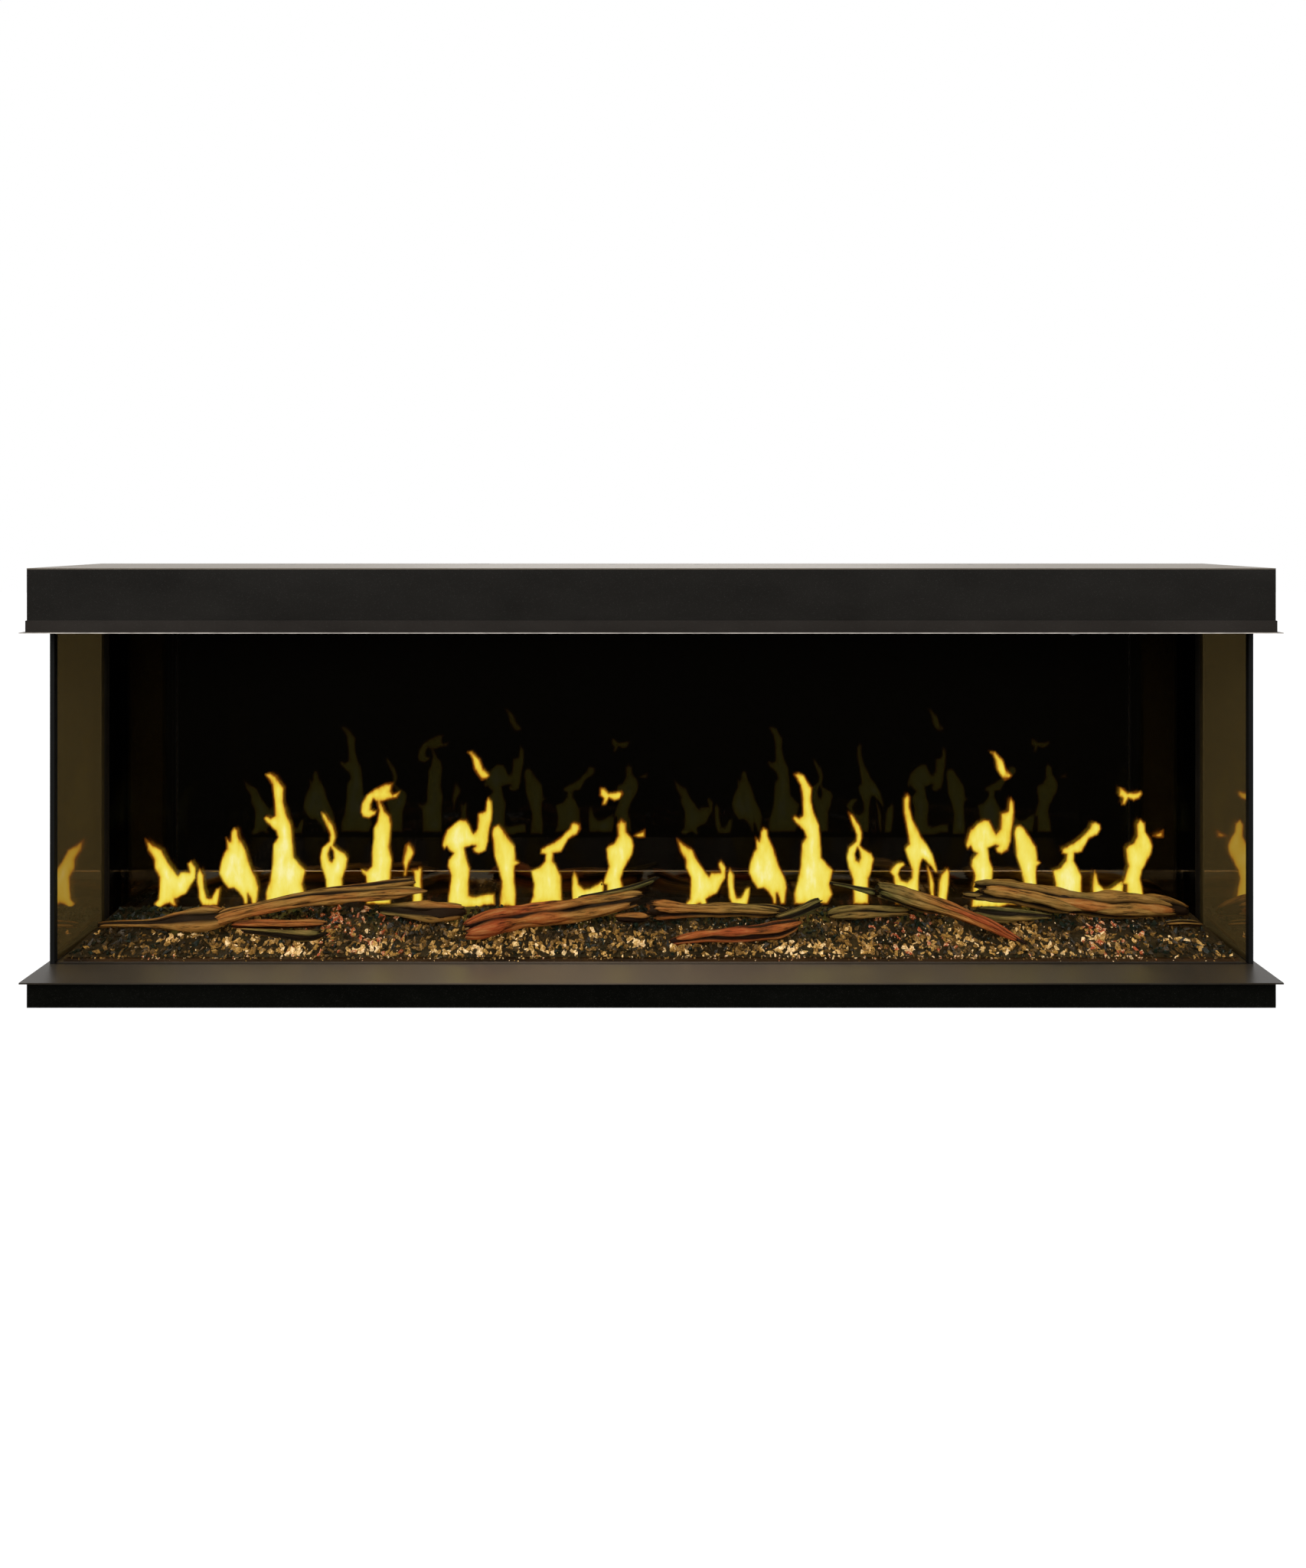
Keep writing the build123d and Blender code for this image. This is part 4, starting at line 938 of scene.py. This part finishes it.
LOGS: tuple[Log, ...] = (
    Log("left_twig", 0.62, 0.66, 4, (
        -7858, -549, 544, 39, -7572, -540, 556, 49, -7177, -549, 566, 59, -6946, -576, 586, 81,
        -6667, -631, 638, 135, -6353, -658, 669, 166, -6101, -586, 663, 152, -5980, -438, 635, 109,
    )),
    Log("left_branch", 0.64, 0.55, 5, (
        -6319, -640, 586, 88, -5942, -580, 682, 113, -5642, -530, 741, 99, -5099, -460, 824, 104,
        -4538, -390, 876, 110, -3978, -330, 900, 105, -3594, -290, 910, 81, -3208, -250, 910, 35,
    )),
    Log("left_branch", 0.6, 0.45, 3, (
        -5671, -470, 785, 45, -5124, -400, 880, 50, -4556, -340, 953, 50, -3994, -280, 989, 55,
        -3607, -245, 1019, 56, -3391, -225, 1044, 35,
    )),
    Log("short_logs", 0.9, 0.85, 3, (
        -5922, -620, 582, 54, -5546, -620, 585, 66, -5171, -620, 587, 69, -4799, -610, 593, 69,
        -4523, -600, 589, 39,
    )),
    Log("short_logs", 0.42, 0.12, 3, (
        -5766, -676, 533, 44, -5320, -765, 542, 63, -4904, -871, 560, 91, -4634, -888, 558, 91,
        -4457, -748, 534, 53,
    )),
    Log("short_logs", 0.22, 0.75, 4, (
        -4008, -170, 604, 51, -3661, -286, 639, 96, -3299, -400, 667, 135, -2966, -419, 664, 135,
        -2638, -325, 634, 95,
    )),
    Log("centre_branch", 1.1, 0.5, 6, (
        -2587, -888, 605, 134, -2311, -853, 668, 188, -2084, -712, 677, 180, -1819, -570, 667, 162,
        -1450, -500, 684, 168, -1087, -440, 709, 157, -710, -380, 751, 150, -340, -330, 806, 131,
        -98, -300, 826, 101,
    )),
    Log("centre_branch", 0.4, 0.1, 3, (
        -1098, -330, 834, 35, -716, -290, 877, 40, -342, -250, 943, 45, -111, -220, 1003, 41, 144, -190, 1091, 30,
    )),
    Log("centre_log", 0.72, 0.3, 5, (
        -85, -438, 727, 194, 67, -419, 714, 179, 309, -344, 675, 135, 607, -300, 650, 101, 993, -290, 657, 111,
        1380, -280, 647, 106, 1757, -270, 626, 91, 1990, -260, 610, 40,
    )),
    Log("centre_log", 0.72, 0.72, 3, (
        -555, -419, 583, 60, -324, -475, 613, 94, -19, -475, 608, 89,
    )),
    Log("crook", 1.0, 0.9, 4, (
        215, -957, 501, 48, 508, -923, 543, 81, 772, -888, 563, 96, 1054, -905, 584, 117, 1318, -888, 589, 120,
        1563, -853, 599, 125, 1784, -783, 609, 126, 2097, -620, 625, 64,
    )),
    Log("crook", 0.3, 0.0, 3, (
        1721, -620, 652, 69, 1925, -550, 685, 69, 2120, -480, 724, 74, 2304, -420, 774, 85, 2443, -380, 800, 85,
    )),
    Log("right_branch", 0.1, 1.3, 5, (
        3207, -300, 959, 131, 3494, -340, 898, 150, 3772, -400, 836, 150, 4045, -470, 779, 129,
        4321, -550, 717, 118, 4590, -640, 639, 108, 4812, -730, 568, 83, 5002, -888, 510, 48, 5136, -991, 471, 24,
    )),
    Log("right_branch", 0.1, 0.1, 2, (
        2544, -140, 973, 23, 2763, -160, 942, 33, 2999, -200, 906, 51, 3289, -280, 868, 76,
    )),
    Log("right_log", 0.5, 0.62, 7, (
        4679, -160, 884, 137, 4950, -180, 881, 158, 5342, -200, 834, 167, 5666, -220, 787, 177,
        6012, -240, 734, 182, 6411, -260, 704, 187, 6804, -270, 703, 182, 7124, -270, 695, 169,
        7411, -270, 670, 141, 7610, -270, 642, 106, 7798, -270, 587, 45,
    )),
    Log("right_log", 0.5, 0.5, 2, (
        4493, -120, 811, 56, 4686, -140, 814, 82, 4958, -160, 789, 81,
    )),
    Log("chunks", 0.25, 0.3, 4, (
        2486, -381, 599, 70, 2683, -381, 637, 105, 2972, -363, 650, 115, 3295, -344, 642, 105, 3762, -248, 600, 56,
    )),
    Log("chunks", 0.2, 0.3, 4, (
        4639, -209, 605, 56, 4898, -400, 634, 105, 5226, -400, 618, 90, 5524, -344, 587, 55, 5772, -306, 559, 25,
    )),
    Log("chunks", 0.5, 0.6, 3, (
        7237, -512, 543, 35, 7508, -512, 560, 49, 7822, -512, 543, 35,
    )),
)


@dataclass
class DriftwoodSet:
    """Weathered logs and sticks on the ember bed, each a bundle of split strands."""

    finish: bpy.types.Material
    step: float = 0.0045
    corners: int = 14
    core: float = 0.62
    offset: float = 0.6
    thick: float = 0.42
    twist: float = 2.2
    wobble: float = 0.16
    wobble_waves: float = 18.0
    knots: float = 0.28
    knot_waves: float = 26.0
    bark: float = 0.2
    bark_waves: float = 60.0
    splinter: float = 0.8
    flatness: float = 0.9
    end_taper: float = 0.4
    spacing: float = 0.35
    thickness: Span = (0.78, 1.12)
    late_start: float = 0.07
    early_end: float = 0.1
    core_span: Span = (0.02, 0.98)
    tint: float = 0.12
    lane_width: float = 0.35
    # Painted shade on the end caps
    end_groove_shade: float = 0.25
    first_seed: int = 40

    def build(self) -> None:
        """Makes a piece for each node of driftwood."""
        for title in dict.fromkeys(log_row.node for log_row in LOGS):
            rows = [(number, row) for number, row in enumerate(LOGS) if row.node == title]
            wood = Shape.joined([strand for number, row in rows for strand in self.trunk(number, row)])
            grain = wood.values.pop("grain")
            piece = wood.piece(f"{title}_wood", self.finish)
            layer = piece.data.uv_layers.new(name="grain")
            loops = np.zeros(len(piece.data.loops), int)
            piece.data.loops.foreach_get("vertex_index", loops)
            layer.data.foreach_set("uv", grain[loops].astype(np.float32).ravel())
            piece.data.polygons.foreach_set("use_smooth", [True] * len(piece.data.polygons))
            settle(piece, CARCASS, "driftwood", f"driftwood_{title}")

    def course(self, stations: np.ndarray) -> np.ndarray:
        """Runs a smooth line through rows of X, Y, Z and radius, and gives rows about one step apart."""
        ends = np.vstack((2 * stations[0] - stations[1], stations, 2 * stations[-1] - stations[-2]))
        rows = []
        for index in range(1, len(ends) - 2):
            before, start, end, after = ends[index - 1 : index + 3]
            count = max(3, round(float(np.linalg.norm((end - start)[:3])) / self.step))
            for share in np.arange(count) / count:
                bend = (2 * before - 5 * start + 4 * end - after) * share**2
                close = (3 * start - before - 3 * end + after) * share**3
                rows.append(0.5 * (2 * start + (end - before) * share + bend + close))
        rows.append(stations[-1])
        return np.array(rows)

    def trunk(self, number: int, row: Log) -> list[Shape]:
        """Splits one log, whose number sets its pattern, into a core and its strands."""
        line = self.course(np.array(row.stations).reshape(-1, 4) / 10000.0)
        draw = np.random.default_rng(self.first_seed + number)
        parts = [self.strand(line, row, draw, 0.0, 0.0, self.core, self.core_span)]
        for strand in range(row.strands):
            angle = 2 * math.pi * (strand + self.spacing * draw.uniform(-1, 1)) / row.strands + number
            thick = self.thick * draw.uniform(*self.thickness)
            reach = (draw.uniform(0.0, self.late_start), 1.0 - draw.uniform(0.0, self.early_end))
            parts.append(self.strand(line, row, draw, angle, self.offset, thick, reach))
        return parts

    def strand(
        self, line: np.ndarray, row: Log, draw: Chance, angle: float, offset: float, thick: float, reach: Span
    ) -> Shape:
        """Carves one strand along the log's line.

        Args:
            line: Rows of X, Y, Z and radius.
            row: The log, for its colours.
            draw: Source of chance with a fixed seed.
            angle: Where the strand starts round the log.
            offset: Its distance from the log's middle, as a share of the radius.
            thick: Its own radius, as a share of the log's.
            reach: Shares of the length where it starts and ends.

        Returns:
            The strand, with each point's hue, its painted shade in the grooves between strands, and its place along
            the grain.
        """
        rings = len(line)
        seed = Vector(draw.uniform(-40, 40, 3))
        tint = draw.uniform(-self.tint, self.tint)
        lane = draw.uniform(0, 20)
        lengths = np.concatenate(([0.0], np.cumsum(np.linalg.norm(np.diff(line[:, :3], axis=0), axis=1))))
        chosen = [ring for ring in range(rings) if reach[0] <= ring / (rings - 1) <= reach[1]]
        points, hues, groove_shades, grain = [], [], [], []
        for ring in chosen:
            share = ring / (rings - 1)
            middle, radius, along = Vector(line[ring, :3]), line[ring, 3], lengths[ring]
            run = Vector(line[min(ring + 1, rings - 1), :3] - line[max(ring - 1, 0), :3]).normalized()
            level = Vector((0.0, 0.0, 1.0)).cross(run).normalized()
            rise = run.cross(level)
            turn = angle + self.twist * along
            sway = 1.0 + self.wobble * 2 * noise.noise(Vector((along * self.wobble_waves, 0.0, 0.0)) + seed)
            swell = 1.0 + self.knots * 2 * noise.noise(Vector((along * self.knot_waves, 3.0, 0.0)) + seed)
            end_gap = min(ring - chosen[0], chosen[-1] - ring) * self.step / (1.1 * radius * (0.5 + thick))
            taper = 1.0 - self.end_taper + self.end_taper * min(1.0, end_gap) ** 0.5
            centre = middle + (level * math.cos(turn) + rise * math.sin(turn)) * (offset * radius * sway)
            for corner in range(self.corners):
                spin = 2 * math.pi * corner / self.corners
                around = Vector((math.cos(spin), math.sin(spin), 0.0))
                bark_place = around * 1.6 + Vector((0.0, 0.0, along * self.bark_waves)) + seed
                rough = 1.0 + self.bark * noise.noise(bark_place)
                size = radius * thick * taper * swell * rough
                jag = radius * self.splinter * max(0.0, 1.0 - end_gap) * noise.noise(around * 2.3 + seed)
                points.append(centre + (level * around.x + rise * around.y * self.flatness) * size + run * jag)
                # Painted shade where a strand faces in towards the others, and all round the hidden core
                outward = math.cos(spin - turn) if offset else -0.5
                hues.append(row.first_hue + (row.last_hue - row.first_hue) * share + tint)
                groove_shades.append(min(1.0, max(0.0, (0.62 - outward) / 0.55)))
                grain.append((lane + self.lane_width * corner / self.corners, along))
        faces = []
        for low in range(0, len(points) - self.corners, self.corners):
            for corner in range(self.corners):
                following = (corner + 1) % self.corners
                high = low + self.corners
                faces.append((low + corner, low + following, high + following, high + corner))
        for first, flip in ((0, True), (len(points) - self.corners, False)):
            rim = [first + corner for corner in range(self.corners)]
            points.append(sum((points[index] for index in rim), Vector()) / self.corners)
            hues.append(hues[rim[0]])
            groove_shades.append(self.end_groove_shade)
            grain.append(grain[rim[0]])
            for corner in range(self.corners):
                pair = (rim[corner], rim[(corner + 1) % self.corners])
                faces.append((len(points) - 1, *(pair[::-1] if flip else pair)))
        values = {"hue": np.array(hues), "groove": np.array(groove_shades), "grain": np.array(grain)}
        return Shape(np.array([tuple(point) for point in points]), faces, values)


@dataclass
class EmberBed:
    """Crushed glass and charcoal heaped on the glowing sheet. Sizes of chips count from their middle."""

    finish: bpy.types.Material
    chips: int = 5200
    spilled: int = 700
    # Small bright chips on top that stand for painted glints
    glint_chips: int = 520
    shapes: int = 14
    chip_corners: int = 9
    chip_form: Point = (0.95, 0.55, 0.38)
    small: float = 0.003
    large: float = 0.009
    heap: float = 0.002
    margin: float = 0.0025
    bump: float = 0.0012
    bump_waves: float = 70.0
    under_tone: float = 0.14
    cell: float = 0.006
    seed: int = 11
    depth_span: Span = (0.03, 0.97)
    spill_size: Span = (0.8, 1.3)
    spill_out: float = 0.0013
    spill_height: Span = (-0.0025, 0.0045)
    # Spilled chips get up to this much more tone as painted light
    spill_painted_light: float = 0.45
    spark_size: Span = (0.35, 0.7)
    spark_lift: float = 0.0045
    glint_tone: Span = (0.84, 0.93)
    # Painted glints stay bright up to this reach from the middle and this share of the depth
    glint_reach: Span = (0.7, 0.62)
    # Middle and half width of each stretch with red embers
    embers: tuple[Span, ...] = ((-0.41, 0.09), (0.35, 0.07), (0.64, 0.05))
    ember_share: float = 0.14
    ember_tone: Span = (0.95, 1.0)
    # Chips left of the first place and behind the second are dark: painted shade of an unlit corner
    shaded_corner: Span = (-0.66, -0.045)
    shaded_corner_tone: Span = (0.0, 0.06)
    coal_share: float = 0.16
    coal_tone: Span = (0.0, 0.3)
    end_shade_share: float = 0.7
    # Painted shade: the bed darkens towards its ends over the second length, up to the first from the middle
    end_fade: Span = (0.76, 0.14)
    # Share of the depth and what it adds to the tone: painted light at the front, painted shade at the back behind the
    # logs
    painted_shading: tuple[Span, ...] = ((0.0, 0.12), (0.2, 0.02), (0.45, -0.03), (0.6, -0.36), (1.0, -0.48))
    mean_tone: float = 0.52
    most_tone: float = 0.88
    cluster: float = 0.55
    cluster_waves: Span = (20.0, 34.0)
    scatter_tone: float = 0.15

    def build(self) -> None:
        """Makes the layer and the chips as one piece in the node's place."""
        low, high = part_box("ember_bed")
        draw = np.random.default_rng(self.seed)
        shapes = [self.layer(low, high), *self.scatter(low, high, draw)]
        settle(Shape.joined(shapes).piece("ember_glass", self.finish), CARCASS, "ember_glass", "ember_bed")

    def height(self, low: Vector, high: Vector, share: float) -> float:
        """Gives the layer's top at a share of the bed's depth."""
        return low.z + self.margin + (high.z - low.z - 2 * self.margin) * share

    def layer(self, low: Vector, high: Vector) -> Shape:
        """Makes the uneven layer under the chips, between the bed's lowest and highest corners."""
        across = round((high.x - low.x) / self.cell)
        back = round((high.y - low.y) / self.cell)
        points, tones = [], []
        for column in range(across + 1):
            for row in range(back + 1):
                x = low.x + (high.x - low.x) * column / across
                share = row / back
                y = low.y + (high.y - low.y) * share
                bump = noise.noise(Vector((x * self.bump_waves, y * self.bump_waves, 0.0)))
                points.append((x, y, self.height(low, high, share) + self.bump * bump))
                tones.append(self.under_tone + self.under_tone * bump)
        return Shape(np.array(points), net(across + 1, back + 1), {"tone": np.array(tones)})

    def shape(self, draw: Chance) -> tuple[np.ndarray, list[Face]]:
        """Breaks one chip, the hull of a few random points, and gives its points and faces."""
        form = bmesh.new()
        for _ in range(self.chip_corners):
            spot = draw.normal(size=3)
            form.verts.new(spot / np.linalg.norm(spot) * self.chip_form)
        hull = bmesh.ops.convex_hull(form, input=form.verts)
        loose = [item for item in hull["geom_interior"] if isinstance(item, bmesh.types.BMVert)]
        bmesh.ops.delete(form, geom=loose, context="VERTS")
        form.verts.ensure_lookup_table()
        form.verts.index_update()
        points = np.array([tuple(vert.co) for vert in form.verts])
        faces = [tuple(vert.index for vert in face.verts) for face in form.faces]
        form.free()
        return points, faces

    def scatter(self, low: Vector, high: Vector, draw: Chance) -> list[Shape]:
        """Strews the chips over the layer, some along its front edge brightened with painted light, and small painted
        glints on top.

        Args:
            low: Lowest corner of the bed.
            high: Highest corner of the bed.
            draw: Source of chance with a fixed seed.

        Returns:
            The chips, with their tones.
        """
        kinds = [self.shape(draw) for _ in range(self.shapes)]
        strewn = []
        for number in range(self.chips + self.spilled + self.glint_chips):
            form, faces = kinds[draw.integers(self.shapes)]
            size = draw.uniform(self.small, self.large)
            share = draw.uniform(*self.depth_span)
            x = draw.uniform(low.x + size, high.x - size)
            turn = np.linalg.qr(draw.normal(size=(3, 3)))[0]
            if np.linalg.det(turn) < 0:
                turn[:, 0] = -turn[:, 0]
            y = min(max(low.y + (high.y - low.y) * share, low.y + size), high.y - size)
            z = self.height(low, high, share) + draw.uniform(0.0, self.heap)
            tone = self.tone(x, y, share, draw)
            if self.chips <= number < self.chips + self.spilled:
                size = draw.uniform(*self.spill_size) * self.small
                y = low.y - self.spill_out + 0.95 * size
                z = low.z + draw.uniform(*self.spill_height)
                # Spilled chips along the front edge, brightened as painted light
                tone = min(self.glint_tone[1], tone + draw.uniform(0.0, self.spill_painted_light))
            # Painted glints: small chips lifted on top with a bright tone
            elif number >= self.chips + self.spilled:
                size = draw.uniform(*self.spark_size) * self.small
                z += self.spark_lift
                dull = abs(x) > self.glint_reach[0] or share > self.glint_reach[1]
                tone = tone if dull else draw.uniform(*self.glint_tone)
            strewn.append(Shape(form @ turn.T * size + (x, y, z), faces, {"tone": np.full(len(form), tone)}))
        return strewn

    def tone(self, x: float, y: float, share: float, draw: Chance) -> float:
        """Draws a chip's tone: in clusters, with painted light at the front, painted shade at the back, in the far
        left corner and towards the ends, and red embers in places.

        Args:
            x: Place across.
            y: Place in depth.
            share: Share of the bed's depth from its front.
            draw: Source of chance with a fixed seed.

        Returns:
            The tone, from 0 to 1.
        """
        edge = min(1.0, max(0.0, (self.end_fade[0] - abs(x)) / self.end_fade[1]))
        # Painted shade in the far left corner, at the back
        if x < self.shaded_corner[0] and y > self.shaded_corner[1]:
            return draw.uniform(*self.shaded_corner_tone)
        for middle, half in self.embers:
            if abs(x - middle) < half and draw.random() < self.ember_share:
                return draw.uniform(*self.ember_tone)
        # Coal at random, and more dark chips towards the ends as painted shade
        if draw.random() < self.coal_share + self.end_shade_share * (1 - edge):
            return draw.uniform(*self.coal_tone)
        waves = self.cluster_waves
        cluster = self.cluster * noise.noise(Vector((x * waves[0], y * waves[1], 4.0)))
        # Painted light at the front and painted shade at the back
        painted_shading = np.interp(share, *zip(*self.painted_shading))
        return min(self.most_tone, max(0.0, self.mean_tone + cluster + painted_shading + self.scatter_tone * draw.normal()))


@dataclass
class Outfit:
    """Finishes of nodes that keep their CAD shape."""

    looks: tuple[tuple[Finish, tuple[str, ...]], ...]

    def dress(self) -> None:
        """Gives each node its finish."""
        for finish, nodes in self.looks:
            material = finish.build()
            for name in nodes:
                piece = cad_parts[name]
                if not piece.material_slots:
                    piece.data.materials.append(material)
                for slot in piece.material_slots:
                    slot.material = material
                log.info("%s: %s", name, finish.name)


STEEL_CASE = Outfit((
    (PaintedSteel("hood_black"), ("hood", "left_cheek", "right_cheek")),
    (PaintedSteel("inner_black", colour=(0.004, 0.004, 0.0035), shine=0.2, dust=0.1), (
        "ceiling_panel", "floor_panel", "screen_rails", "upper_glass_channel", "lower_glass_channel", "outlet_grille",
    )),
    # Darker than the case's black as painted shade under the ledge
    (PaintedSteel("tray_painted_shade", colour=(0.003, 0.0032, 0.002), shine=0.15), ("base_tray",)),
    # Lighter than the case's black as a painted sheen of the top face, with a painted glow of the fire in the middle
    (
        PaintedSteel("ledge_black", colour=(0.042, 0.033, 0.022), roughness=0.37, shine=0.95, dust=0.1, middle=0.72),
        ("lower_ledge",),
    ),
    # Its front and side rims are painted bright: worn paint and a painted highlight of the edge
    (
        PaintedSteel("flange_black", colour=(0.024, 0.019, 0.015), rim_side=0.8053, rim_front=-0.1723),
        ("upper_flange",),
    ),
    (BareSteel("plate_steel", colour=(0.24, 0.2, 0.155), metallic=0.2), ("top_plate",)),
    (BareSteel("zinc_steel"), (
        "rear_deck", "rear_panel", "rear_stiffeners", "top_rail", "blower_housing", "terminal_box", "light_carrier",
        "power_supply",
    )),
    (MouldedPiece("screw_black", (0.015, 0.014, 0.013), 0.35, 0.5), ("top_screws",)),
))

GLASSWORK = Outfit((
    (
        Glazing(
            "front_pane", body=(0.002, 0.002, 0.002), square_cover=0.006, slant_cover=0.012, shine=0.3, smears=0.004
        ),
        ("front_glass",),
    ),
    (
        Glazing(
            "side_pane", tint=(0.68, 0.57, 0.34), body=(0.095, 0.068, 0.024), square_cover=0.08, slant_cover=0.8,
            slant_from=0.08, slant_to=0.4, shine=1.0, index=2.8, film=(1.0, 0.74, 0.45), outer=0.798,
        ),
        ("left_glass", "right_glass"),
    ),
    (
        Glazing("flame_screen", body=(0.9, 0.78, 0.55), square_cover=0.1, slant_cover=0.2, silver=1.0, smears=0.0),
        ("left_flame_screen", "right_flame_screen"),
    ),
    (GlossBlack("gloss_glass", shine=0.22), ("gloss_panel",)),
    (GlossBlack("gloss_lacquer", shine=0.4, roughness=0.06), ("side_liners",)),
    (GlossBlack("step_gloss", roughness=0.1, shine=0.5, index=3.4, film=(0.9, 0.6, 0.32)), ("driver_cover",)),
    (MouldedPiece("seal_rubber", (0.006, 0.006, 0.0055), 0.65, 0.25), ("glass_seals", "cable_bushing")),
    (GlowingSheet("ember_acrylic"), ("ember_diffuser",)),
))

WORKINGS = Outfit((
    (BoardLacquer("board_green"), ("driver_boards", "light_boards", "control_board", "button_board")),
    (
        BareSteel("bare_aluminium", colour=(0.62, 0.62, 0.63), roughness=0.32, spangle=0.04, metallic=0.95),
        ("blower_wheel", "heating_element"),
    ),
    (
        BareSteel("motor_steel", colour=(0.2, 0.2, 0.2), roughness=0.45, spangle=0.05, metallic=0.8),
        ("blower_motor",),
    ),
    (
        BareSteel("bush_bronze", colour=(0.42, 0.26, 0.1), roughness=0.4, spangle=0.05, metallic=0.9),
        ("blower_bearing",),
    ),
    (MouldedPiece("switch_black", (0.022, 0.022, 0.022)), ("control_bezel", "rocker_housing")),
    # The keys are black; this lighter grey is painted light so they show in the dim underside
    (
        MouldedPiece("key_painted_light_grey", (0.16, 0.16, 0.165), 0.34, 0.5, relief=0.00001),
        ("push_button_1", "push_button_2", "push_button_3", "push_button_4", "power_rocker"),
    ),
    (MouldedPiece("terminal_ceramic", (0.6, 0.57, 0.5), 0.45), ("terminal_block",)),
))


@dataclass
class Studio:
    """Pale floor and backdrop, soft lights and the camera."""

    floor_size: float = 14.0
    floor_drop: float = 0.0005
    daylight: float = 0.42
    gloss_low: float = 0.004
    gloss_high: float = 0.8
    floor_white: float = 0.78
    floor_grey: Colour = (0.42, 0.42, 0.42)
    floor_dim: Colour = (0.008, 0.0075, 0.007)
    floor_edge: Span = (1.3, 2.6)
    dim_depth: Span = (-0.2, 0.3)
    lamps: tuple[tuple[Point, Point, float, float], ...] = (
        ((-1.6, -1.9, 2.4), (0.0, 0.0, 0.3), 1.8, 34.0),
        ((1.7, -1.6, 2.3), (0.0, 0.0, 0.3), 1.8, 26.0),
        ((0.0, 1.8, 2.2), (0.0, 0.1, 0.3), 2.0, 22.0),
    )
    eye: Point = (0.010, -1.275, 0.614)
    lens: float = 19.863
    shift: Span = (-0.0039, -0.163)

    def build(self) -> None:
        """Builds the stage, the lights, the sky and the camera."""
        self.floor()
        self.sky()
        self.hang_lamps()
        self.camera()

    def blank_sheet(self, owner: bpy.types.Material | bpy.types.World) -> NodeSheet:
        """Gives a material or a world an empty sheet of nodes."""
        owner.use_nodes = True
        owner.node_tree.nodes.clear()
        return NodeSheet(owner.node_tree)

    def floor(self) -> None:
        """Lays a floor that shows white to the camera, keeps a soft shadow, and isn't seen from below."""
        material = bpy.data.materials.new("pale_floor")
        sheet = self.blank_sheet(material)
        camera = sheet.value("ShaderNodeLightPath", "Is Camera Ray")
        glossy = sheet.value("ShaderNodeLightPath", "Is Glossy Ray")
        ahead = glossy * sheet.spread(sheet.axis(1), *self.dim_depth, 1.0, 0.0)
        matt = sheet.value("ShaderNodeBsdfDiffuse", 0, {"Color": sheet.blend(ahead, self.floor_grey, self.floor_dim)})
        far = sheet.value("ShaderNodeVectorMath", "Value", {0: sheet.place()}, operation="LENGTH")
        white = sheet.spread(far, *self.floor_edge, self.floor_white, 1.0)
        glow = sheet.value("ShaderNodeEmission", 0, {"Color": WHITE, "Strength": camera * white})
        both = sheet.value("ShaderNodeAddShader", 0, {0: matt, 1: glow})
        under = sheet.value("ShaderNodeNewGeometry", "Backfacing")
        clear = sheet.value("ShaderNodeBsdfTransparent", 0)
        sides = sheet.value("ShaderNodeMixShader", 0, {0: under * camera, 1: both, 2: clear})
        sheet.add("ShaderNodeOutputMaterial", {"Surface": sides})
        half = self.floor_size / 2
        corners = np.array([(-half, -half, 0.0), (half, -half, 0.0), (half, half, 0.0), (-half, half, 0.0)])
        mesh_object("studio_floor", corners - (0.0, 0.0, self.floor_drop), [(0, 1, 2, 3)], material)

    def sky(self) -> None:
        """Makes the surroundings: white to the camera, an even light, and a dim room in low reflections."""
        world = bpy.data.worlds.new("studio")
        bpy.context.scene.world = world
        sheet = self.blank_sheet(world)
        camera, glossy, passing = (
            sheet.value("ShaderNodeLightPath", f"Is {kind} Ray") for kind in ("Camera", "Glossy", "Transmission")
        )
        heading = sheet.value("ShaderNodeTexCoord", "Generated")
        high = sheet.spread(sheet.axis(2, heading), 0.0, 0.25)
        behind = sheet.spread(sheet.axis(1, heading), -0.1, 0.2)
        mirrored = sheet.spread(sheet.math("MAXIMUM", high, behind), 0.0, 1.0, self.gloss_low, self.gloss_high)
        through = sheet.math("MAXIMUM", camera, passing)
        rest = sheet.math("SUBTRACT", 1.0, sheet.math("MAXIMUM", through, glossy))
        strength = through + glossy * mirrored + rest * self.daylight
        sky = sheet.value("ShaderNodeBackground", 0, {"Color": WHITE, "Strength": strength})
        sheet.add("ShaderNodeOutputWorld", {"Surface": sky})

    def hang_lamps(self) -> None:
        """Hangs the soft lamps, each with its place, what it looks at, its side in metres and its power in watts."""
        for number, (place, target, size, power) in enumerate(self.lamps):
            light = bpy.data.lights.new(f"soft_lamp_{number}", "AREA")
            light.shape = "SQUARE"
            light.size = size
            light.energy = power
            holder = linked(light.name, light)
            holder.location = place
            holder.rotation_euler = (Vector(target) - Vector(place)).to_track_quat("-Z", "Y").to_euler()

    def camera(self) -> None:
        """Stands the camera level, a little above the hood."""
        lens = bpy.data.cameras.new("view")
        lens.lens = self.lens
        lens.shift_x, lens.shift_y = self.shift
        lens.clip_start = 0.01
        eye = linked("view", lens)
        eye.location = self.eye
        eye.rotation_euler = (math.pi / 2, 0.0, 0.0)
        bpy.context.scene.camera = eye


def main() -> None:
    """Dresses the fireplace and sets the scene."""
    bpy.context.scene.view_settings.view_transform = "Standard"
    EffectLibrary().build()
    for outfit in (STEEL_CASE, GLASSWORK, WORKINGS):
        outfit.dress()
    EmberBed(EmberGlass("ember_chips").build()).build()
    DriftwoodSet(WeatheredWood("driftwood").build()).build()
    FlameScreens(FlamePicture("flame_picture").build()).build()
    Studio().build()


if __name__ == "__main__":
    main()
